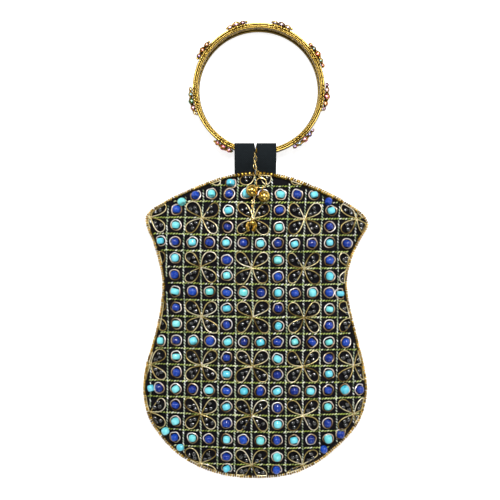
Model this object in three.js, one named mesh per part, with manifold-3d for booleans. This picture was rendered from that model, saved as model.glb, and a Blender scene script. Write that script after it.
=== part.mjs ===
// Beaded phone pouch with a bangle handle, lying on its back. Lengths in millimetres, Z up.
// X runs across the pouch, Y from its base to the bangle, and the floor is Z = 0.
import * as THREE from 'three';
import { mergeVertices } from 'three/addons/utils/BufferGeometryUtils.js';
import Module from 'manifold-3d';

// Clearances
const SEAT = 0.3; // air between two pieces that touch each other

// Pouch
const BAG_WIDTH = 126;
const BAG_HEIGHT = 171;
const CROWN_HEIGHT = 15.5; // floor to the top of the cloth at the middle of the front
const FRONT_WALL = 2;
const BACK_WALL = 1.6;
const EDGE_RISE = 1.2; // how far the back lifts off the floor at the side seams
const MOUTH_LIFT = 6.5; // how far the front lip stands above the side seams
const MOUTH_UP = 0.6; // share of the height where the front starts to lift towards the mouth
const MOUTH_REACH = 0.97; // share of the half width where the mouth closes
const CENTRE_UP = 0.5; // share of the height that the panels are built around
const DOME_SPREAD = 40; // distance from the seam to the level middle of the front
const DOME_FULLNESS = 2.2; // how squarely the front curves down to the seam
const BACK_CURL = 12; // width of the strip of the back that curls up to the seam

// Round edging of small beads
const EDGING_DIAMETER = 2;
const EDGING_SIDES = 6;

// Embroidered grid and its round beads
const GRID_PITCH_X = 9.55;
const GRID_PITCH_Y = 9.18;
const GRID_FIRST_X = -49.8; // vertical line number 0
const GRID_FIRST_UP = 164.4; // horizontal line number 0, counted downwards
const GRID_LEAN = 2; // drift of the verticals to the right at the top
const GRID_BOW = 2.4; // rise of the horizontals at the sides near the base
const BLOCK = 3; // each third row and column holds round beads
const BEAD_DIAMETER = 4.6;
const BEAD_HEIGHT = 3.4;
const BEAD_TOP_SHARE = 0.62; // the top's share of the bead's width
const BEAD_SINK = 0.9;
const BEAD_SIDES = 10;
const BEAD_ROOM = 0.2; // cloth left between a round bead and the edge
const PILE = 2.4; // height of the seed-bead petals above the cloth

// Ribbon tabs
const RIBBON_WIDTH = 10.9;
const RIBBON_THICKNESS = 1;
const RIBBON_SPLIT = 1.5; // space between the two tabs
const RIBBON_MIDDLE_X = -0.3;
const RIBBON_REACH = 16.8; // from the top of the pouch to the outside of the fold
const RIBBON_TAIL = 16; // sewn length inside the pouch
const TAIL_ROOM = 1; // air between the front and the end of a tail
const FOLD_RADIUS = 1.6;

// Bangle
const BANGLE_INNER_RADIUS = 33.4;
const BANGLE_WIDTH = 9.4;
const RAIL_RADIAL = 3.1;
const RAIL_AXIAL = 2.7;
const MIDDLE_WIRE = 2.2;
const SOLDER = 0.2; // overlap of soldered pieces
const BANGLE_X = 1;
const RING_STEPS = 32;
const RAIL_CORNERS = 6;
const PLATE_THICKNESS = 1;
const CLUSTER_STONE = 3.8;
const CLUSTER_SIDE_STONE = 2.7;
const STONE_STAND = 1.5; // height of the bezel above its plate
const STONE_CROWN = 0.9;
const CLUSTERS = [
  { angle: 353, span: 13 },
  { angle: 30, span: 12 },
  { angle: 70, span: 11 },
  { angle: 109, span: 11 },
  { angle: 145, span: 11 },
  { angle: 190, span: 14 },
  { angle: 238, span: 10.5 },
  { angle: 312, span: 13 },
];

// Chain, jump ring and charms
const EYE_RADIUS = 1.3;
const EYE_WIRE = 0.7;
const CHAIN_DIAMETER = 1.8;
const CHAIN_SIDES = 8;
const CHAIN_STEPS = 7;
const JUMP_RING_RADIUS = 2.6;
const JUMP_RING_WIRE = 0.7;
const JUMP_RING_X = 2.9;
const JUMP_RING_DROP = 5.4; // from the top of the pouch down to the middle of the ring
const JUMP_RING_LIFT = 0.6; // held off the pile by the loops of the balls
const BALL_DIAMETER = 6.6;
const BALL_LOOP_WIRE = 0.55;
const CHARM_BALL = 2.6;
const CHARM_ARM_RADIUS = 2;
const CHARM_ARM_WIRE = 1.1;
const CHARM_X = -2.4;
const CHARM_DROP = 30.2;
const BALLS = [
  { name: 'ball_charm_left', x: -2.3, drop: 9.9 },
  { name: 'ball_charm_right', x: 4.4, drop: 13.1 },
];
// Chain routes: chosen points below the top of the pouch, with what the chain lies on there
const UPPER_ROUTE = [
  { x: -0.6, drop: -8.6, over: 'ribbon' },
  { x: -0.1, drop: -6.6, over: 'ribbon' },
  { x: -0.9, drop: -4.6, over: 'ribbon' },
  { x: -0.4, drop: -2.6, over: 'lip' },
  { x: 0.9, drop: -0.6, over: 'lip' },
];
const LOWER_ROUTE = [
  { x: -0.2, drop: 13.6, over: 'front' },
  { x: -1.6, drop: 16.4, over: 'front' },
  { x: -1.9, drop: 19, over: 'front' },
  { x: -1.7, drop: 22, over: 'front' },
];

// Outline of the pouch from its base up: shares of its height and of half its width
const OUTLINE = [
  { up: 0, left: 0, right: 0 },
  { up: 0.0045, left: 0.2, right: 0.21 },
  { up: 0.02, left: 0.39, right: 0.38 },
  { up: 0.053, left: 0.594, right: 0.56 },
  { up: 0.094, left: 0.743, right: 0.7 },
  { up: 0.143, left: 0.862, right: 0.835 },
  { up: 0.2, left: 0.956, right: 0.938 },
  { up: 0.281, left: 1.003, right: 0.99 },
  { up: 0.363, left: 0.984, right: 0.968 },
  { up: 0.433, left: 0.929, right: 0.922 },
  { up: 0.512, left: 0.872, right: 0.87 },
  { up: 0.59, left: 0.84, right: 0.824 },
  { up: 0.648, left: 0.833, right: 0.813 },
  { up: 0.72, left: 0.87, right: 0.853 },
  { up: 0.786, left: 0.927, right: 0.935 },
  { up: 0.813, left: 0.96, right: 0.981 },
  { up: 0.835, left: 0.978, right: 1.002 },
  { up: 0.855, left: 0.983, right: 0.979 },
  { up: 0.873, left: 0.956, right: 0.933 },
  { up: 0.898, left: 0.857, right: 0.832 },
  { up: 0.927, left: 0.706, right: 0.686 },
  { up: 0.967, left: 0.444, right: 0.429 },
  { up: 0.991, left: 0.23, right: 0.215 },
  { up: 1, left: 0, right: 0 },
];

const wasm = await Module();
wasm.setup();

// Finishes
const finish = (color, roughness, metalness) =>
  new THREE.MeshStandardMaterial({ color, roughness, metalness });
const embroidery = finish(0x1b2440, 0.6, 0.1);
const plainCloth = finish(0x17121c, 0.9, 0);
const grosgrain = finish(0x1f2a2e, 0.85, 0);
const beadGold = finish(0xc8a45a, 0.3, 0.9);
const antiqueGold = finish(0xb8902e, 0.35, 0.95);
const brightGold = finish(0xc9a227, 0.22, 1);
const chainBrass = finish(0xc9a850, 0.3, 1);

// Joining
function toSolid(geometry) {
  const bare = geometry.index ? geometry.toNonIndexed() : geometry.clone();
  bare.deleteAttribute('normal');
  bare.deleteAttribute('uv');
  const merged = mergeVertices(bare, 1e-4);
  return new wasm.Manifold(new wasm.Mesh({
    numProp: 3,
    vertProperties: new Float32Array(merged.attributes.position.array),
    triVerts: new Uint32Array(merged.index.array),
  }));
}

function joined(geometries) {
  let solid = toSolid(geometries[0]);
  for (const geometry of geometries.slice(1)) solid = solid.add(toSolid(geometry));
  const mesh = solid.getMesh();
  const result = new THREE.BufferGeometry();
  result.setAttribute('position', new THREE.BufferAttribute(mesh.vertProperties, 3));
  result.setIndex(new THREE.BufferAttribute(mesh.triVerts, 1));
  return result;
}

// Outline and the curved panels
const centre = new THREE.Vector2(0, CENTRE_UP * BAG_HEIGHT);

function outlineCurve() {
  const halfWidth = BAG_WIDTH / 2;
  const right = OUTLINE.map((row) => new THREE.Vector3(row.right * halfWidth, row.up * BAG_HEIGHT, 0));
  const left = OUTLINE.slice(1, -1).reverse()
    .map((row) => new THREE.Vector3(-row.left * halfWidth, row.up * BAG_HEIGHT, 0));
  return new THREE.CatmullRomCurve3([...right, ...left], true, 'centripetal');
}

const outline = outlineCurve();
const EDGE_COUNT = outline.points.length;
const FINE_COUNT = 14 * outline.points.length; // points that distances to the edge are taken from

// Points of the outline moved inwards by a distance, counter-clockwise from the base
function insetOutline(distance, count = EDGE_COUNT) {
  const points = [];
  for (let i = 0; i < count; i += 1) {
    const point = outline.getPoint(i / count);
    const along = outline.getTangent(i / count);
    points.push(new THREE.Vector2(point.x - along.y * distance, point.y + along.x * distance));
  }
  return points;
}

const panelEdge = insetOutline(EDGING_DIAMETER + SEAT);
const SEAM_TOP = EDGE_RISE + BACK_WALL + SEAT + FRONT_WALL;

const finePoints = insetOutline(EDGING_DIAMETER + SEAT, FINE_COUNT);

// Distance to the edge of the panels, rounded over where two parts of the edge are as near
function depth(x, y) {
  let sum = 0;
  finePoints.forEach((point, i) => {
    const step = point.distanceTo(finePoints[(i + 1) % finePoints.length]);
    sum += step / ((x - point.x) ** 2 + (y - point.y) ** 2 + 1e-9) ** 2;
  });
  return ((2 / Math.PI) * sum) ** (-1 / 3);
}

// 0 along the side seams and 1 at the middle of the mouth
function mouthShare(x, y) {
  const start = MOUTH_UP * BAG_HEIGHT;
  const reach = MOUTH_REACH * (BAG_WIDTH / 2);
  if (y < start || Math.abs(x) > reach) return 0;
  return Math.cos((Math.PI / 2) * (x / reach)) * ((y - start) / (BAG_HEIGHT - start)) ** 2;
}

// Top of the front cloth
function frontTop(x, y) {
  const flatness = (1 - Math.min(1, depth(x, y) / DOME_SPREAD)) ** DOME_FULLNESS;
  return SEAM_TOP + (CROWN_HEIGHT - SEAM_TOP) * (1 - flatness) + MOUTH_LIFT * mouthShare(x, y);
}

function backUnderside(x, y) {
  const curl = 1 - Math.min(1, depth(x, y) / BACK_CURL);
  return EDGE_RISE * (1 - mouthShare(x, y)) * curl * curl;
}

function isInside(place) {
  let inside = false;
  panelEdge.forEach((a, i) => {
    const b = panelEdge[(i + 1) % panelEdge.length];
    if (a.y > place.y === b.y > place.y) return;
    if (place.x < a.x + ((b.x - a.x) * (place.y - a.y)) / (b.y - a.y)) inside = !inside;
  });
  return inside;
}

// Closed shell of nested copies of the edge, from an upper pole over the rim to a lower pole
function shell(rings, topHeight, bottomHeight) {
  const positions = [centre.x, centre.y, topHeight];
  for (const ring of rings) {
    for (const edge of panelEdge) {
      const x = centre.x + (edge.x - centre.x) * ring.share;
      const y = centre.y + (edge.y - centre.y) * ring.share;
      positions.push(x, y, ring.height(x, y));
    }
  }
  positions.push(centre.x, centre.y, bottomHeight);
  const count = panelEdge.length;
  const last = 1 + rings.length * count;
  const index = [];
  for (let i = 0; i < count; i += 1) {
    const next = (i + 1) % count;
    index.push(0, 1 + i, 1 + next);
    for (let k = 0; k + 1 < rings.length; k += 1) {
      const inner = 1 + k * count;
      const outer = inner + count;
      index.push(inner + i, outer + i, outer + next);
      index.push(inner + i, outer + next, inner + next);
    }
    const rim = last - count;
    index.push(rim + i, last, rim + next);
  }
  const geometry = new THREE.BufferGeometry();
  geometry.setAttribute('position', new THREE.Float32BufferAttribute(positions, 3));
  geometry.setIndex(index);
  return geometry;
}

function frontShell() {
  const inside = (x, y) => frontTop(x, y) - FRONT_WALL;
  const shares = [0.5, 0.78, 0.93, 1];
  const rings = shares.map((share) => ({ share, height: frontTop }));
  rings.push(...shares.reverse().map((share) => ({ share, height: inside })));
  return shell(rings, frontTop(centre.x, centre.y), inside(centre.x, centre.y));
}

function backShell() {
  const inside = (x, y) => backUnderside(x, y) + BACK_WALL;
  const rings = [0.75, 0.9, 1].map((share) => ({ share, height: inside }));
  rings.push(...[1, 0.9, 0.75].map((share) => ({ share, height: backUnderside })));
  return shell(rings, BACK_WALL, 0);
}

// Round beads of the grid
function gridPoint(column, row) {
  const x = GRID_FIRST_X + column * GRID_PITCH_X;
  const y = GRID_FIRST_UP - row * GRID_PITCH_Y;
  const high = Math.max(0, (2 * y) / BAG_HEIGHT - 1);
  const low = Math.max(0, 1 - (2 * y) / BAG_HEIGHT);
  const aside = x / (BAG_WIDTH / 2);
  return new THREE.Vector2(x + GRID_LEAN * high * high, y + GRID_BOW * low * aside * aside);
}

function roundBeadPlaces() {
  const places = [];
  const columns = Math.ceil(BAG_WIDTH / GRID_PITCH_X) + 2;
  const rows = Math.ceil(BAG_HEIGHT / GRID_PITCH_Y) + 2;
  for (let i = -2; i < columns; i += 1) {
    for (let j = -1; j < rows; j += 1) {
      if (i % BLOCK !== 0 && j % BLOCK !== 0) continue;
      const place = gridPoint(i + 0.5, j + 0.5);
      if (isInside(place) && depth(place.x, place.y) > BEAD_DIAMETER / 2 + BEAD_ROOM) places.push(place);
    }
  }
  return places;
}

function turned(profile, sides) {
  const geometry = new THREE.LatheGeometry(profile.map(([r, z]) => new THREE.Vector2(r, z)), sides);
  return geometry.rotateX(Math.PI / 2);
}

// The direction straight out of the front cloth
function clothUp(place) {
  const step = 0.5;
  const slopeX = (frontTop(place.x + step, place.y) - frontTop(place.x - step, place.y)) / (2 * step);
  const slopeY = (frontTop(place.x, place.y + step) - frontTop(place.x, place.y - step)) / (2 * step);
  return new THREE.Vector3(-slopeX, -slopeY, 1).normalize();
}

function roundBead(place) {
  const radius = BEAD_DIAMETER / 2;
  const bead = turned([
    [0, -BEAD_SINK],
    [radius, -BEAD_SINK],
    [radius * BEAD_TOP_SHARE, BEAD_HEIGHT],
    [0, BEAD_HEIGHT],
  ], BEAD_SIDES);
  bead.applyQuaternion(new THREE.Quaternion().setFromUnitVectors(new THREE.Vector3(0, 0, 1), clothUp(place)));
  return bead.translate(place.x, place.y, frontTop(place.x, place.y));
}

const beadPlaces = roundBeadPlaces();

function frontPanel() {
  return joined([frontShell(), ...beadPlaces.map(roundBead)]);
}

// Edging
function edgingHeight(edge) {
  return SEAM_TOP - FRONT_WALL + (MOUTH_LIFT + FRONT_WALL / 2) * mouthShare(edge.x, edge.y);
}

// A tube that closes on itself, with one ring of corners at each point of its line
function closedTube(points, radius, sides) {
  const positions = [];
  const index = [];
  const count = points.length;
  points.forEach((point, i) => {
    const before = points[(i + count - 1) % count];
    const after = points[(i + 1) % count];
    const along = after.clone().sub(before).normalize();
    const outwards = along.clone().cross(new THREE.Vector3(0, 0, 1)).normalize();
    const upwards = outwards.clone().cross(along);
    for (let k = 0; k < sides; k += 1) {
      const angle = (2 * Math.PI * k) / sides;
      const corner = point.clone()
        .addScaledVector(outwards, radius * Math.cos(angle))
        .addScaledVector(upwards, radius * Math.sin(angle));
      positions.push(corner.x, corner.y, corner.z);
      const here = i * sides + k;
      const beside = i * sides + ((k + 1) % sides);
      const ahead = ((i + 1) % count) * sides;
      index.push(here, ahead + k, ahead + ((k + 1) % sides));
      index.push(here, ahead + ((k + 1) % sides), beside);
    }
  });
  const geometry = new THREE.BufferGeometry();
  geometry.setAttribute('position', new THREE.Float32BufferAttribute(positions, 3));
  geometry.setIndex(index);
  return geometry;
}

function beadEdging() {
  const line = insetOutline(EDGING_DIAMETER / 2);
  const points = line.map((point, i) => new THREE.Vector3(point.x, point.y, edgingHeight(panelEdge[i])));
  return closedTube(points, EDGING_DIAMETER / 2, EDGING_SIDES);
}

// Ribbon tabs, drawn from the side and pulled out across their width
const FOLD_Y = BAG_HEIGHT + RIBBON_REACH;
const RIBBON_FAR_X = Math.abs(RIBBON_MIDDLE_X) + RIBBON_SPLIT / 2 + RIBBON_WIDTH;
// The straight folds touch the inside of the bangle at their outer corners
const FOLD_CHORD = Math.sqrt(BANGLE_INNER_RADIUS ** 2 - (RIBBON_FAR_X + BANGLE_X) ** 2);
const BANGLE_Y = FOLD_Y - RIBBON_THICKNESS - SEAT + FOLD_CHORD;
const BANGLE_OUTER_RADIUS = BANGLE_INNER_RADIUS + RAIL_RADIAL;
const BAND_NEAR_Y = BANGLE_Y - BANGLE_OUTER_RADIUS;
const BAND_LOW = RIBBON_THICKNESS + SEAT;
const RIBBON_TOP = BAND_LOW + BANGLE_WIDTH + SEAT + RIBBON_THICKNESS;

// Where the edge of the panels crosses the mouth
function lipY(x) {
  const crossings = panelEdge.map((a, i) => {
    const b = panelEdge[(i + 1) % panelEdge.length];
    if (a.x > x === b.x > x) return 0;
    return a.y + ((b.y - a.y) * (x - a.x)) / (b.x - a.x);
  });
  return Math.max(...crossings);
}

const LIP_Y = Math.min(lipY(-RIBBON_FAR_X), lipY(RIBBON_FAR_X));

function tailTop(y) {
  const lowest = Math.min(frontTop(-RIBBON_FAR_X, y), frontTop(RIBBON_FAR_X, y));
  return lowest - FRONT_WALL - SEAT;
}

// Upper face of a tab: level under the lip and its edging, then up to the top of the bangle
const TAB_CREST_Y = BAND_NEAR_Y - RIBBON_THICKNESS;
const EDGING_UNDERSIDE = edgingHeight(new THREE.Vector2(RIBBON_FAR_X, LIP_Y)) - EDGING_DIAMETER / 2;
const LIP_TAB_TOP = Math.min(tailTop(LIP_Y), EDGING_UNDERSIDE - SEAT);

function tabTop(y) {
  const share = THREE.MathUtils.clamp((y - BAG_HEIGHT) / (TAB_CREST_Y - BAG_HEIGHT), 0, 1);
  return THREE.MathUtils.lerp(LIP_TAB_TOP, RIBBON_TOP, share);
}

function ribbonSection() {
  const wall = RIBBON_THICKNESS;
  const tailY = LIP_Y - RIBBON_TAIL;
  const tailEndTop = tailTop(tailY) - TAIL_ROOM;
  const section = new THREE.Shape();
  section.moveTo(tailY, tailEndTop - 2 * wall);
  section.lineTo(LIP_Y, LIP_TAB_TOP - 2 * wall);
  section.lineTo(BAG_HEIGHT, LIP_TAB_TOP - 2 * wall);
  section.lineTo(BAND_NEAR_Y - 2 * wall, 0);
  section.lineTo(FOLD_Y - FOLD_RADIUS, 0);
  section.quadraticCurveTo(FOLD_Y, 0, FOLD_Y, FOLD_RADIUS);
  section.lineTo(FOLD_Y, RIBBON_TOP - FOLD_RADIUS);
  section.quadraticCurveTo(FOLD_Y, RIBBON_TOP, FOLD_Y - FOLD_RADIUS, RIBBON_TOP);
  section.lineTo(TAB_CREST_Y, RIBBON_TOP);
  section.lineTo(BAG_HEIGHT, LIP_TAB_TOP);
  section.lineTo(LIP_Y, LIP_TAB_TOP);
  section.lineTo(tailY, tailEndTop);
  section.closePath();
  const inside = new THREE.Path();
  const foldInside = FOLD_Y - wall;
  const bend = FOLD_RADIUS / 2;
  inside.moveTo(BAG_HEIGHT + wall, LIP_TAB_TOP - wall);
  inside.lineTo(TAB_CREST_Y, RIBBON_TOP - wall);
  inside.lineTo(foldInside - bend, RIBBON_TOP - wall);
  inside.lineTo(foldInside, RIBBON_TOP - wall - bend);
  inside.lineTo(foldInside, wall + bend);
  inside.lineTo(foldInside - bend, wall);
  inside.lineTo(BAND_NEAR_Y - 1.6 * wall, wall);
  inside.closePath();
  section.holes.push(inside);
  return section;
}

function ribbonTab(side) {
  const tab = new THREE.ExtrudeGeometry(ribbonSection(), {
    depth: RIBBON_WIDTH,
    bevelEnabled: false,
    curveSegments: 4,
  });
  // the section's x becomes Y, its y becomes Z, and its depth runs along X
  tab.applyMatrix4(new THREE.Matrix4().set(0, 0, 1, 0, 1, 0, 0, 0, 0, 1, 0, 0, 0, 0, 0, 1));
  const start = side < 0 ? -RIBBON_SPLIT / 2 - RIBBON_WIDTH : RIBBON_SPLIT / 2;
  return tab.translate(RIBBON_MIDDLE_X + start, 0, 0);
}

// Bangle, around its own middle with its axis along Z
function rail(radial, axial, height) {
  const radius = BANGLE_INNER_RADIUS + RAIL_RADIAL / 2;
  const profile = [];
  for (let i = 0; i <= RAIL_CORNERS; i += 1) {
    const angle = (2 * Math.PI * (i % RAIL_CORNERS)) / RAIL_CORNERS;
    profile.push([radius + (radial / 2) * Math.cos(angle), height + (axial / 2) * Math.sin(angle)]);
  }
  return turned(profile, RING_STEPS);
}

function plateSector(span, width) {
  const inner = BANGLE_OUTER_RADIUS - PLATE_THICKNESS;
  const outer = BANGLE_OUTER_RADIUS + SOLDER;
  const half = span / BANGLE_OUTER_RADIUS / 2;
  const sector = new THREE.Shape();
  sector.absarc(0, 0, outer, -half, half, false);
  sector.absarc(0, 0, inner, half, -half, true);
  sector.closePath();
  const plate = new THREE.ExtrudeGeometry(sector, { depth: width, bevelEnabled: false, curveSegments: 2 });
  return plate.translate(0, 0, -width / 2);
}

// A cut stone in its bezel: eight facets round a flat table, sunk a little into the plate
function setStone(diameter) {
  const radius = diameter / 2;
  return turned([
    [0, -PLATE_THICKNESS / 2],
    [radius, -PLATE_THICKNESS / 2],
    [radius, STONE_STAND],
    [radius * 0.5, STONE_STAND + STONE_CROWN],
    [0, STONE_STAND + STONE_CROWN],
  ], 8);
}

// Moves a piece that stands on the XY plane to the outside of the bangle
function onBand(geometry, along) {
  geometry.rotateY(Math.PI / 2);
  geometry.translate(BANGLE_OUTER_RADIUS, 0, 0);
  return geometry.rotateZ(along / BANGLE_OUTER_RADIUS);
}

function cluster({ angle, span }) {
  const width = BANGLE_WIDTH - RAIL_AXIAL;
  const pieces = [plateSector(span, width), onBand(setStone(CLUSTER_STONE), 0)];
  for (const side of [-1, 1]) {
    pieces.push(onBand(setStone(CLUSTER_SIDE_STONE), (side * (CLUSTER_STONE + CLUSTER_SIDE_STONE)) / 2));
  }
  for (const piece of pieces) piece.rotateZ(THREE.MathUtils.degToRad(angle));
  return pieces;
}

const RAIL_HEIGHT = BANGLE_WIDTH / 2 - RAIL_AXIAL / 2;
const EYE_HEIGHT = BANGLE_WIDTH / 2 + EYE_RADIUS - EYE_WIRE / 2;

function bangle() {
  const middleHeight = RAIL_HEIGHT - RAIL_AXIAL / 2 - MIDDLE_WIRE / 2 + SOLDER;
  const eye = new THREE.TorusGeometry(EYE_RADIUS, EYE_WIRE / 2, 6, 10);
  eye.rotateY(Math.PI / 2);
  eye.translate(RIBBON_MIDDLE_X - BANGLE_X, -BANGLE_INNER_RADIUS - RAIL_RADIAL / 2, EYE_HEIGHT);
  return joined([
    rail(RAIL_RADIAL, RAIL_AXIAL, RAIL_HEIGHT),
    rail(RAIL_RADIAL, RAIL_AXIAL, -RAIL_HEIGHT),
    rail(RAIL_RADIAL, MIDDLE_WIRE, middleHeight),
    eye,
    ...CLUSTERS.flatMap(cluster),
  ]);
}

// Chain, ring and charms, each resting on what is below it
const tube = (points, diameter, steps) => {
  const section = new THREE.Shape();
  section.absarc(0, 0, diameter / 2, 0, 2 * Math.PI, false);
  return new THREE.ExtrudeGeometry(section, {
    extrudePath: new THREE.CatmullRomCurve3(points),
    steps,
    curveSegments: CHAIN_SIDES / 2,
  });
};

const restingOn = {
  ribbon: (x, y) => tabTop(y),
  lip: (x, y) => Math.max(tabTop(y), edgingHeight(new THREE.Vector2(x, BAG_HEIGHT)) + EDGING_DIAMETER / 2),
  front: (x, y) => frontTop(x, y) + PILE,
};

function routePoint({ x, drop, over }) {
  const y = BAG_HEIGHT - drop;
  return new THREE.Vector3(x, y, restingOn[over](x, y) + SEAT + CHAIN_DIAMETER / 2);
}

const jumpRingCentre = new THREE.Vector3(
  JUMP_RING_X,
  BAG_HEIGHT - JUMP_RING_DROP,
  frontTop(JUMP_RING_X, BAG_HEIGHT - JUMP_RING_DROP) + PILE + JUMP_RING_LIFT + SEAT + JUMP_RING_WIRE / 2,
);

function jumpRing() {
  const ring = new THREE.TorusGeometry(JUMP_RING_RADIUS, JUMP_RING_WIRE / 2, 6, 14);
  return ring.translate(jumpRingCentre.x, jumpRingCentre.y, jumpRingCentre.z);
}

function upperChain() {
  return tube(UPPER_ROUTE.map(routePoint), CHAIN_DIAMETER, CHAIN_STEPS);
}

function lowerChain() {
  const charmTop = CHARM_DROP - CHARM_ARM_RADIUS - CHARM_BALL / 2;
  const end = { x: CHARM_X, drop: charmTop - SEAT, over: 'front' };
  return tube([...LOWER_ROUTE, end].map(routePoint), CHAIN_DIAMETER, CHAIN_STEPS);
}

// Lowest height at which a ball clears the cloth and the round beads under it
function ballHeight(x, y, radius) {
  let height = frontTop(x, y) + radius + SEAT;
  for (const place of beadPlaces) {
    const top = clothUp(place).multiplyScalar(BEAD_HEIGHT);
    const away = Math.max(0, Math.hypot(place.x + top.x - x, place.y + top.y - y) - BEAD_DIAMETER / 2);
    if (away >= radius) continue;
    const beadTop = frontTop(place.x, place.y) + BEAD_HEIGHT;
    height = Math.max(height, beadTop + Math.sqrt(radius * radius - away * away) + SEAT);
  }
  return height;
}

// A ball with a neck and a loop that goes round the wire of the jump ring
function ballCharm({ x, drop }) {
  const radius = BALL_DIAMETER / 2;
  const y = BAG_HEIGHT - drop;
  const middle = new THREE.Vector3(x, y, ballHeight(x, y, radius));
  const outwards = new THREE.Vector3(x - jumpRingCentre.x, y - jumpRingCentre.y, 0).normalize();
  const hold = jumpRingCentre.clone().addScaledVector(outwards, JUMP_RING_RADIUS);
  const loopRadius = JUMP_RING_WIRE / 2 + SEAT + BALL_LOOP_WIRE / 2;
  const loop = new THREE.TorusGeometry(loopRadius, BALL_LOOP_WIRE / 2, 6, 10);
  loop.rotateX(Math.PI / 2).rotateZ(Math.atan2(outwards.y, outwards.x));
  loop.translate(hold.x, hold.y, hold.z);
  const towards = middle.clone().sub(hold);
  const far = towards.length();
  const neckLength = far - loopRadius;
  const neck = new THREE.CylinderGeometry(BALL_LOOP_WIRE / 2, BALL_LOOP_WIRE / 2, neckLength, 6);
  neck.translate(0, neckLength / 2 + loopRadius, 0);
  const turn = new THREE.Quaternion().setFromUnitVectors(new THREE.Vector3(0, 1, 0), towards.normalize());
  neck.applyQuaternion(turn).translate(hold.x, hold.y, hold.z);
  const ball = new THREE.SphereGeometry(radius, 12, 6).rotateX(Math.PI / 2);
  return joined([ball.translate(middle.x, middle.y, middle.z), loop, neck]);
}

// A small ball with two curved arms that close to a point below it
function endCharm() {
  const y = BAG_HEIGHT - CHARM_DROP;
  const height = frontTop(CHARM_X, y) + PILE + SEAT + CHARM_BALL / 2;
  const gap = Math.PI / 6;
  const arm = (from, to) => {
    const points = [];
    for (let i = 0; i <= 4; i += 1) {
      const angle = from + ((to - from) * i) / 4;
      points.push(new THREE.Vector3(
        CHARM_X + CHARM_ARM_RADIUS * Math.sin(angle),
        y - CHARM_ARM_RADIUS * Math.cos(angle),
        height,
      ));
    }
    return tube(points, CHARM_ARM_WIRE, 5);
  };
  const ball = new THREE.IcosahedronGeometry(CHARM_BALL / 2, 1);
  ball.translate(CHARM_X, y + CHARM_ARM_RADIUS, height);
  return joined([ball, arm(gap, Math.PI), arm(-gap, -Math.PI)]);
}

// Assembly
const group = new THREE.Group();

function add(name, geometry, material, parent = group) {
  const mesh = new THREE.Mesh(geometry, material);
  mesh.name = name;
  parent.add(mesh);
  return mesh;
}

add('front_panel', frontPanel(), embroidery);
add('back_panel', backShell(), plainCloth);
add('bead_edging', beadEdging(), beadGold);
add('ribbon_tab_left', ribbonTab(-1), grosgrain);
add('ribbon_tab_right', ribbonTab(1), grosgrain);

// The near side of the bangle lies on the tabs and its far side on the floor
const handle = new THREE.Group();
const bangleTilt = Math.asin(BAND_LOW / (2 * BANGLE_OUTER_RADIUS));
handle.rotation.x = -bangleTilt;
const bangleRise = BANGLE_OUTER_RADIUS * Math.sin(bangleTilt);
handle.position.set(BANGLE_X, BANGLE_Y, bangleRise + (BANGLE_WIDTH / 2) * Math.cos(bangleTilt));
group.add(handle);
add('bangle', bangle(), antiqueGold, handle);

add('drop_chain_upper', upperChain(), chainBrass);
add('jump_ring', jumpRing(), chainBrass);
for (const ball of BALLS) add(ball.name, ballCharm(ball), brightGold);
add('drop_chain_lower', lowerChain(), chainBrass);
add('end_charm', endCharm(), brightGold);

// The origin is the middle of the space the pouch takes on the floor
group.updateMatrixWorld(true);
const space = new THREE.Box3().setFromObject(group, true);
const middle = space.getCenter(new THREE.Vector3());
group.position.set(-middle.x, -middle.y, -space.min.z);

export default group;
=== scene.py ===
"""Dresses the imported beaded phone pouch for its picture: cloth, cords, wires, beads, ribbon, bangle and chain.

Lengths in the classes are millimetres in the pouch's own frame: X to the right, Y up from the pouch's
base, Z up from the floor. Site turns them into the row's metres.
"""

import logging
import math
from dataclasses import dataclass, field
from enum import Enum
from typing import Callable, Iterable, Sequence

import bpy
import numpy as np
from mathutils import Matrix, Vector


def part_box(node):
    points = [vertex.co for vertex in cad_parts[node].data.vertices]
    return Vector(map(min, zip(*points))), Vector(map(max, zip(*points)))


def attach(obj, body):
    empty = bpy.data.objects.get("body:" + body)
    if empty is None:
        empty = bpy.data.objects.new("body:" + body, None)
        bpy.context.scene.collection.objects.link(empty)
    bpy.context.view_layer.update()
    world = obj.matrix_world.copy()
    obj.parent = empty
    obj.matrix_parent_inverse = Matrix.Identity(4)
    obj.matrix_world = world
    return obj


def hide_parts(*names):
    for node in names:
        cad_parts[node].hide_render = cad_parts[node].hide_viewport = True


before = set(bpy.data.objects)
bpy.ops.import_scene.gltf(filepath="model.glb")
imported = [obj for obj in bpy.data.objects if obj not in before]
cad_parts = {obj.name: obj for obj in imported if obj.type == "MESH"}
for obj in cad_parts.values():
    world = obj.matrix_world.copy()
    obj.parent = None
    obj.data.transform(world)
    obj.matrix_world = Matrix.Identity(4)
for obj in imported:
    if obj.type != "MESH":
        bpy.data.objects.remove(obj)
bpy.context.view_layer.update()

log = logging.getLogger("pouch")

MM = 0.001
IMAGE_SIZE = 500
SEED = 11

Point = tuple[float, float, float]


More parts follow.
